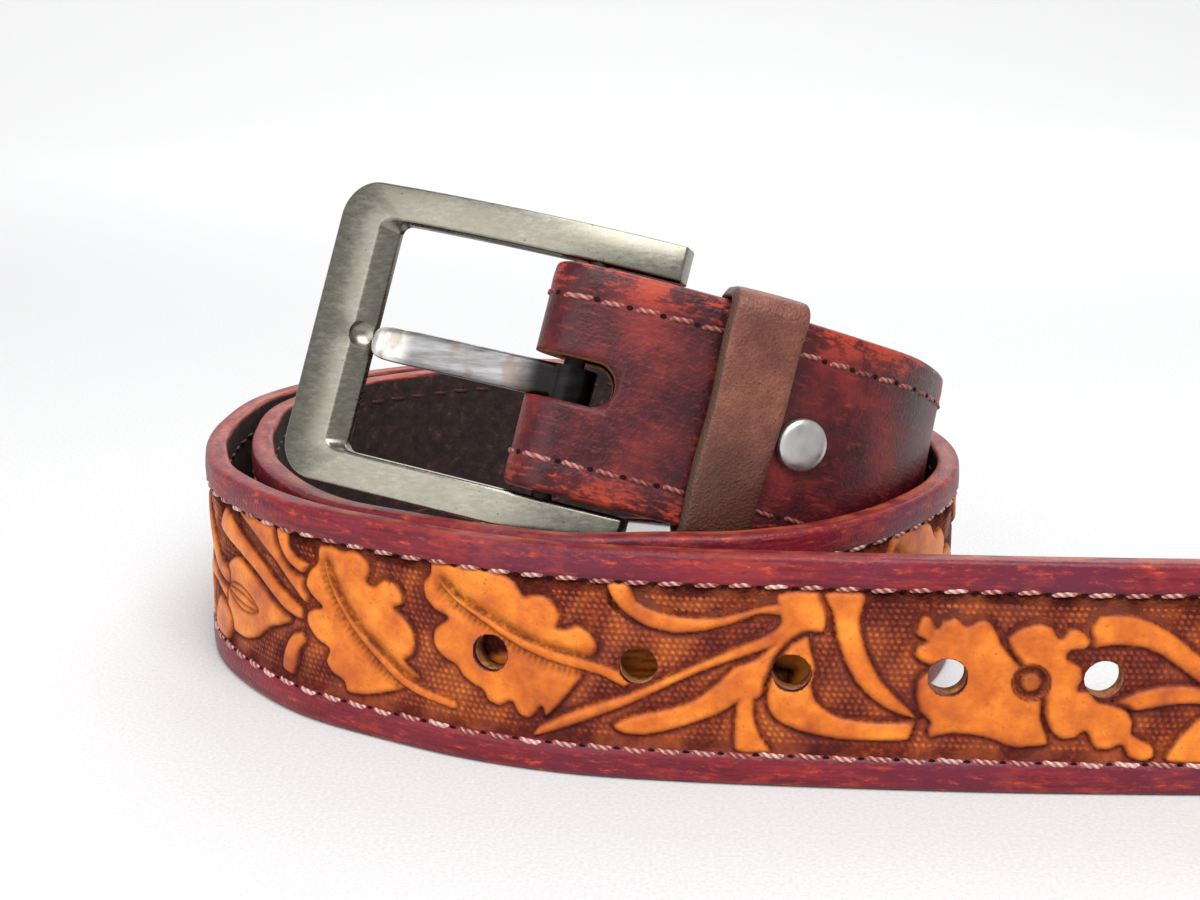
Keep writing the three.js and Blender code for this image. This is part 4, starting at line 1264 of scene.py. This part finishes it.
curvature = nickel.nodes.new("ShaderNodeNewGeometry").outputs["Pointiness"]
edge_wear = nickel.band(curvature, 0.53, 0.60)
crevice = nickel.rest(nickel.band(curvature, 0.42, 0.48))
metal_colour = nickel.ramp(
    grain_fine, (0.25, (0.18, 0.168, 0.137)), (0.5, (0.235, 0.222, 0.184)), (0.75, (0.33, 0.315, 0.265)),
)
for share, most, tone in (
    (nickel.band(cloud, 0.42, 0.66), 0.45, (0.21, 0.195, 0.15)), (pits, 0.8, (0.04, 0.035, 0.03)),
    (crevice, 0.9, (0.02, 0.018, 0.017)), (edge_wear, 0.6, (0.66, 0.65, 0.60)),
):
    metal_colour = nickel.mix(nickel.times(share, most), metal_colour, tone)
nickel.finish(
    colour=metal_colour,
    roughness=nickel.ramp(grain_fine, (0.3, 0.22), (0.7, 0.33)),
    normal=nickel.bump(grain_fine, 0.00002, 0.4),
)
coat(buckle, nickel)
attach(buckle, "frame_body")
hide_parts("buckle_frame")

# Heel bar pin. A round steel pin between the ends of the arms, blackened where the leather has rubbed it.
pin_radius = 0.0019
pin_mesh = bmesh.new()
pin_place = buckle_place @ Matrix.Rotation(math.pi / 2, 4, "X")
add_bar(pin_mesh, pin_radius, 2 * frame_half - arm_width, pin_place)
for face in pin_mesh.faces:
    face.smooth = len(face.verts) == 4
heel_pin = add_object("heel_pin", pin_mesh)
dull = Finish("blackened_steel", roughness=0.6, metallic=0.6)
dull_noise = dull.noise(dull.place(), 600)
dull.finish(colour=dull.ramp(dull_noise, (0.35, (0.012, 0.011, 0.011)), (0.7, (0.05, 0.045, 0.045))))
coat(heel_pin, dull)
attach(heel_pin, "frame_body")

# Prong. A forged tongue with an eye round the heel bar. Its flat back is rounded off, and its blunt tip lies
# in the notch of the crossbar.
prong_width = 0.0063
prong_thick = 0.0025
eye_wall = 0.0017
eye_hole = heel_bar_radius + bar_clearance
eye_outer = eye_hole + eye_wall
blade_corner = 0.62
tip_gap = 0.0006
prong_length = frame_reach - crossbar_width - tip_gap
# Share of the length, shares of the width and the thickness, and the height as a share of the eye's top
blade = np.array((
    (0.0, 1, 0.8, 0.95), (0.12, 1, 1, 0.95), (0.4, 1, 1, 0.9), (0.7, 1, 1, 0.72), (0.86, 0.99, 0.97, 0.5),
    (0.93, 0.94, 0.92, 0.38), (0.97, 0.82, 0.84, 0.31), (0.99, 0.62, 0.7, 0.27), (1.0, 0.3, 0.4, 0.25),
))
spots = np.concatenate((np.linspace(0, 0.9, 28)[:-1], np.linspace(0.9, 1, 12)))
tongue = bmesh.new()
bmesh.ops.create_grid(tongue, x_segments=len(spots) - 1, y_segments=24, size=0.5)
for v in tongue.verts:
    share = spots[round((v.co.x + 0.5) * (len(spots) - 1))]
    angle = round((v.co.y + 0.5) * 24) / 24 * 2 * math.pi
    wide, thick, rise = (float(np.interp(share, blade[:, 0], blade[:, k])) for k in (1, 2, 3))
    soft_cos = math.copysign(abs(math.cos(angle)) ** blade_corner, math.cos(angle))
    soft_sin = math.copysign(abs(math.sin(angle)) ** blade_corner, math.sin(angle))
    middle = (eye_outer - prong_thick / 2) * rise
    half_wide, half_thick = prong_width * wide / 2, prong_thick * thick / 2
    v.co = (share * prong_length, half_wide * soft_cos, middle + half_thick * soft_sin)
close_up(tongue)
prong = add_object("prong_tongue", tongue)
lie = Matrix.Rotation(math.pi / 2, 4, "X")
eye = bmesh.new()
add_bar(eye, eye_outer, prong_width, lie, segments=40)
combine(prong, add_object("eye_solid", eye), "UNION")
bore = bmesh.new()
add_bar(bore, eye_hole, 2 * prong_width, lie)
combine(prong, add_object("bore_tool", bore))
reach = prong.data.attributes.new("reach", "FLOAT", "POINT")
for v in prong.data.vertices:
    reach.data[v.index].value = v.co.x / prong_length
prong_drop = 7
prong_shift = 0.0008
rest_turn = Matrix.Translation((0, prong_shift, 0)) @ Matrix.Rotation(-math.radians(prong_drop), 4, "Y")
prong.data.transform(buckle_place @ rest_turn)
prong.data.shade_smooth()
prong.data.set_sharp_from_angle(angle=math.radians(40))
forged = Finish("forged_prong", metallic=1.0)
forged_at = forged.place()
forged_streak = forged.noise(forged.place(scale=(60, 160, 700)), 1, detail=5, roughness=0.7)
forged_colour = forged.ramp(
    forged_streak, (0.3, (0.12, 0.115, 0.11)), (0.5, (0.24, 0.235, 0.235)), (0.72, (0.40, 0.395, 0.39)),
)
length_share = forged.stored("reach")
forged_colour = forged.mix(forged.band(length_share, 0.76, 0.90), forged_colour, (0.80, 0.79, 0.73))
rusty = forged.times(forged.band(forged.noise(forged_at, 200, detail=4), 0.52, 0.66), 0.55)
forged_colour = forged.mix(rusty, forged_colour, (0.19, 0.115, 0.075))
# Painted shade: the prong is darkened to nearly black towards its eye, which sits in the slot of the fold.
root_shade = forged.rest(forged.band(length_share, 0.12, 0.30))
forged_colour = forged.mix(forged.times(root_shade, 0.96), forged_colour, (0.006, 0.005, 0.005))
forged.finish(
    colour=forged_colour,
    roughness=forged.ramp(forged_streak, (0.3, 0.22), (0.7, 0.38)),
    normal=forged.bump(forged_streak, 0.00003, 0.5),
)
coat(prong, forged)
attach(prong, "prong_body")
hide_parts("prong")
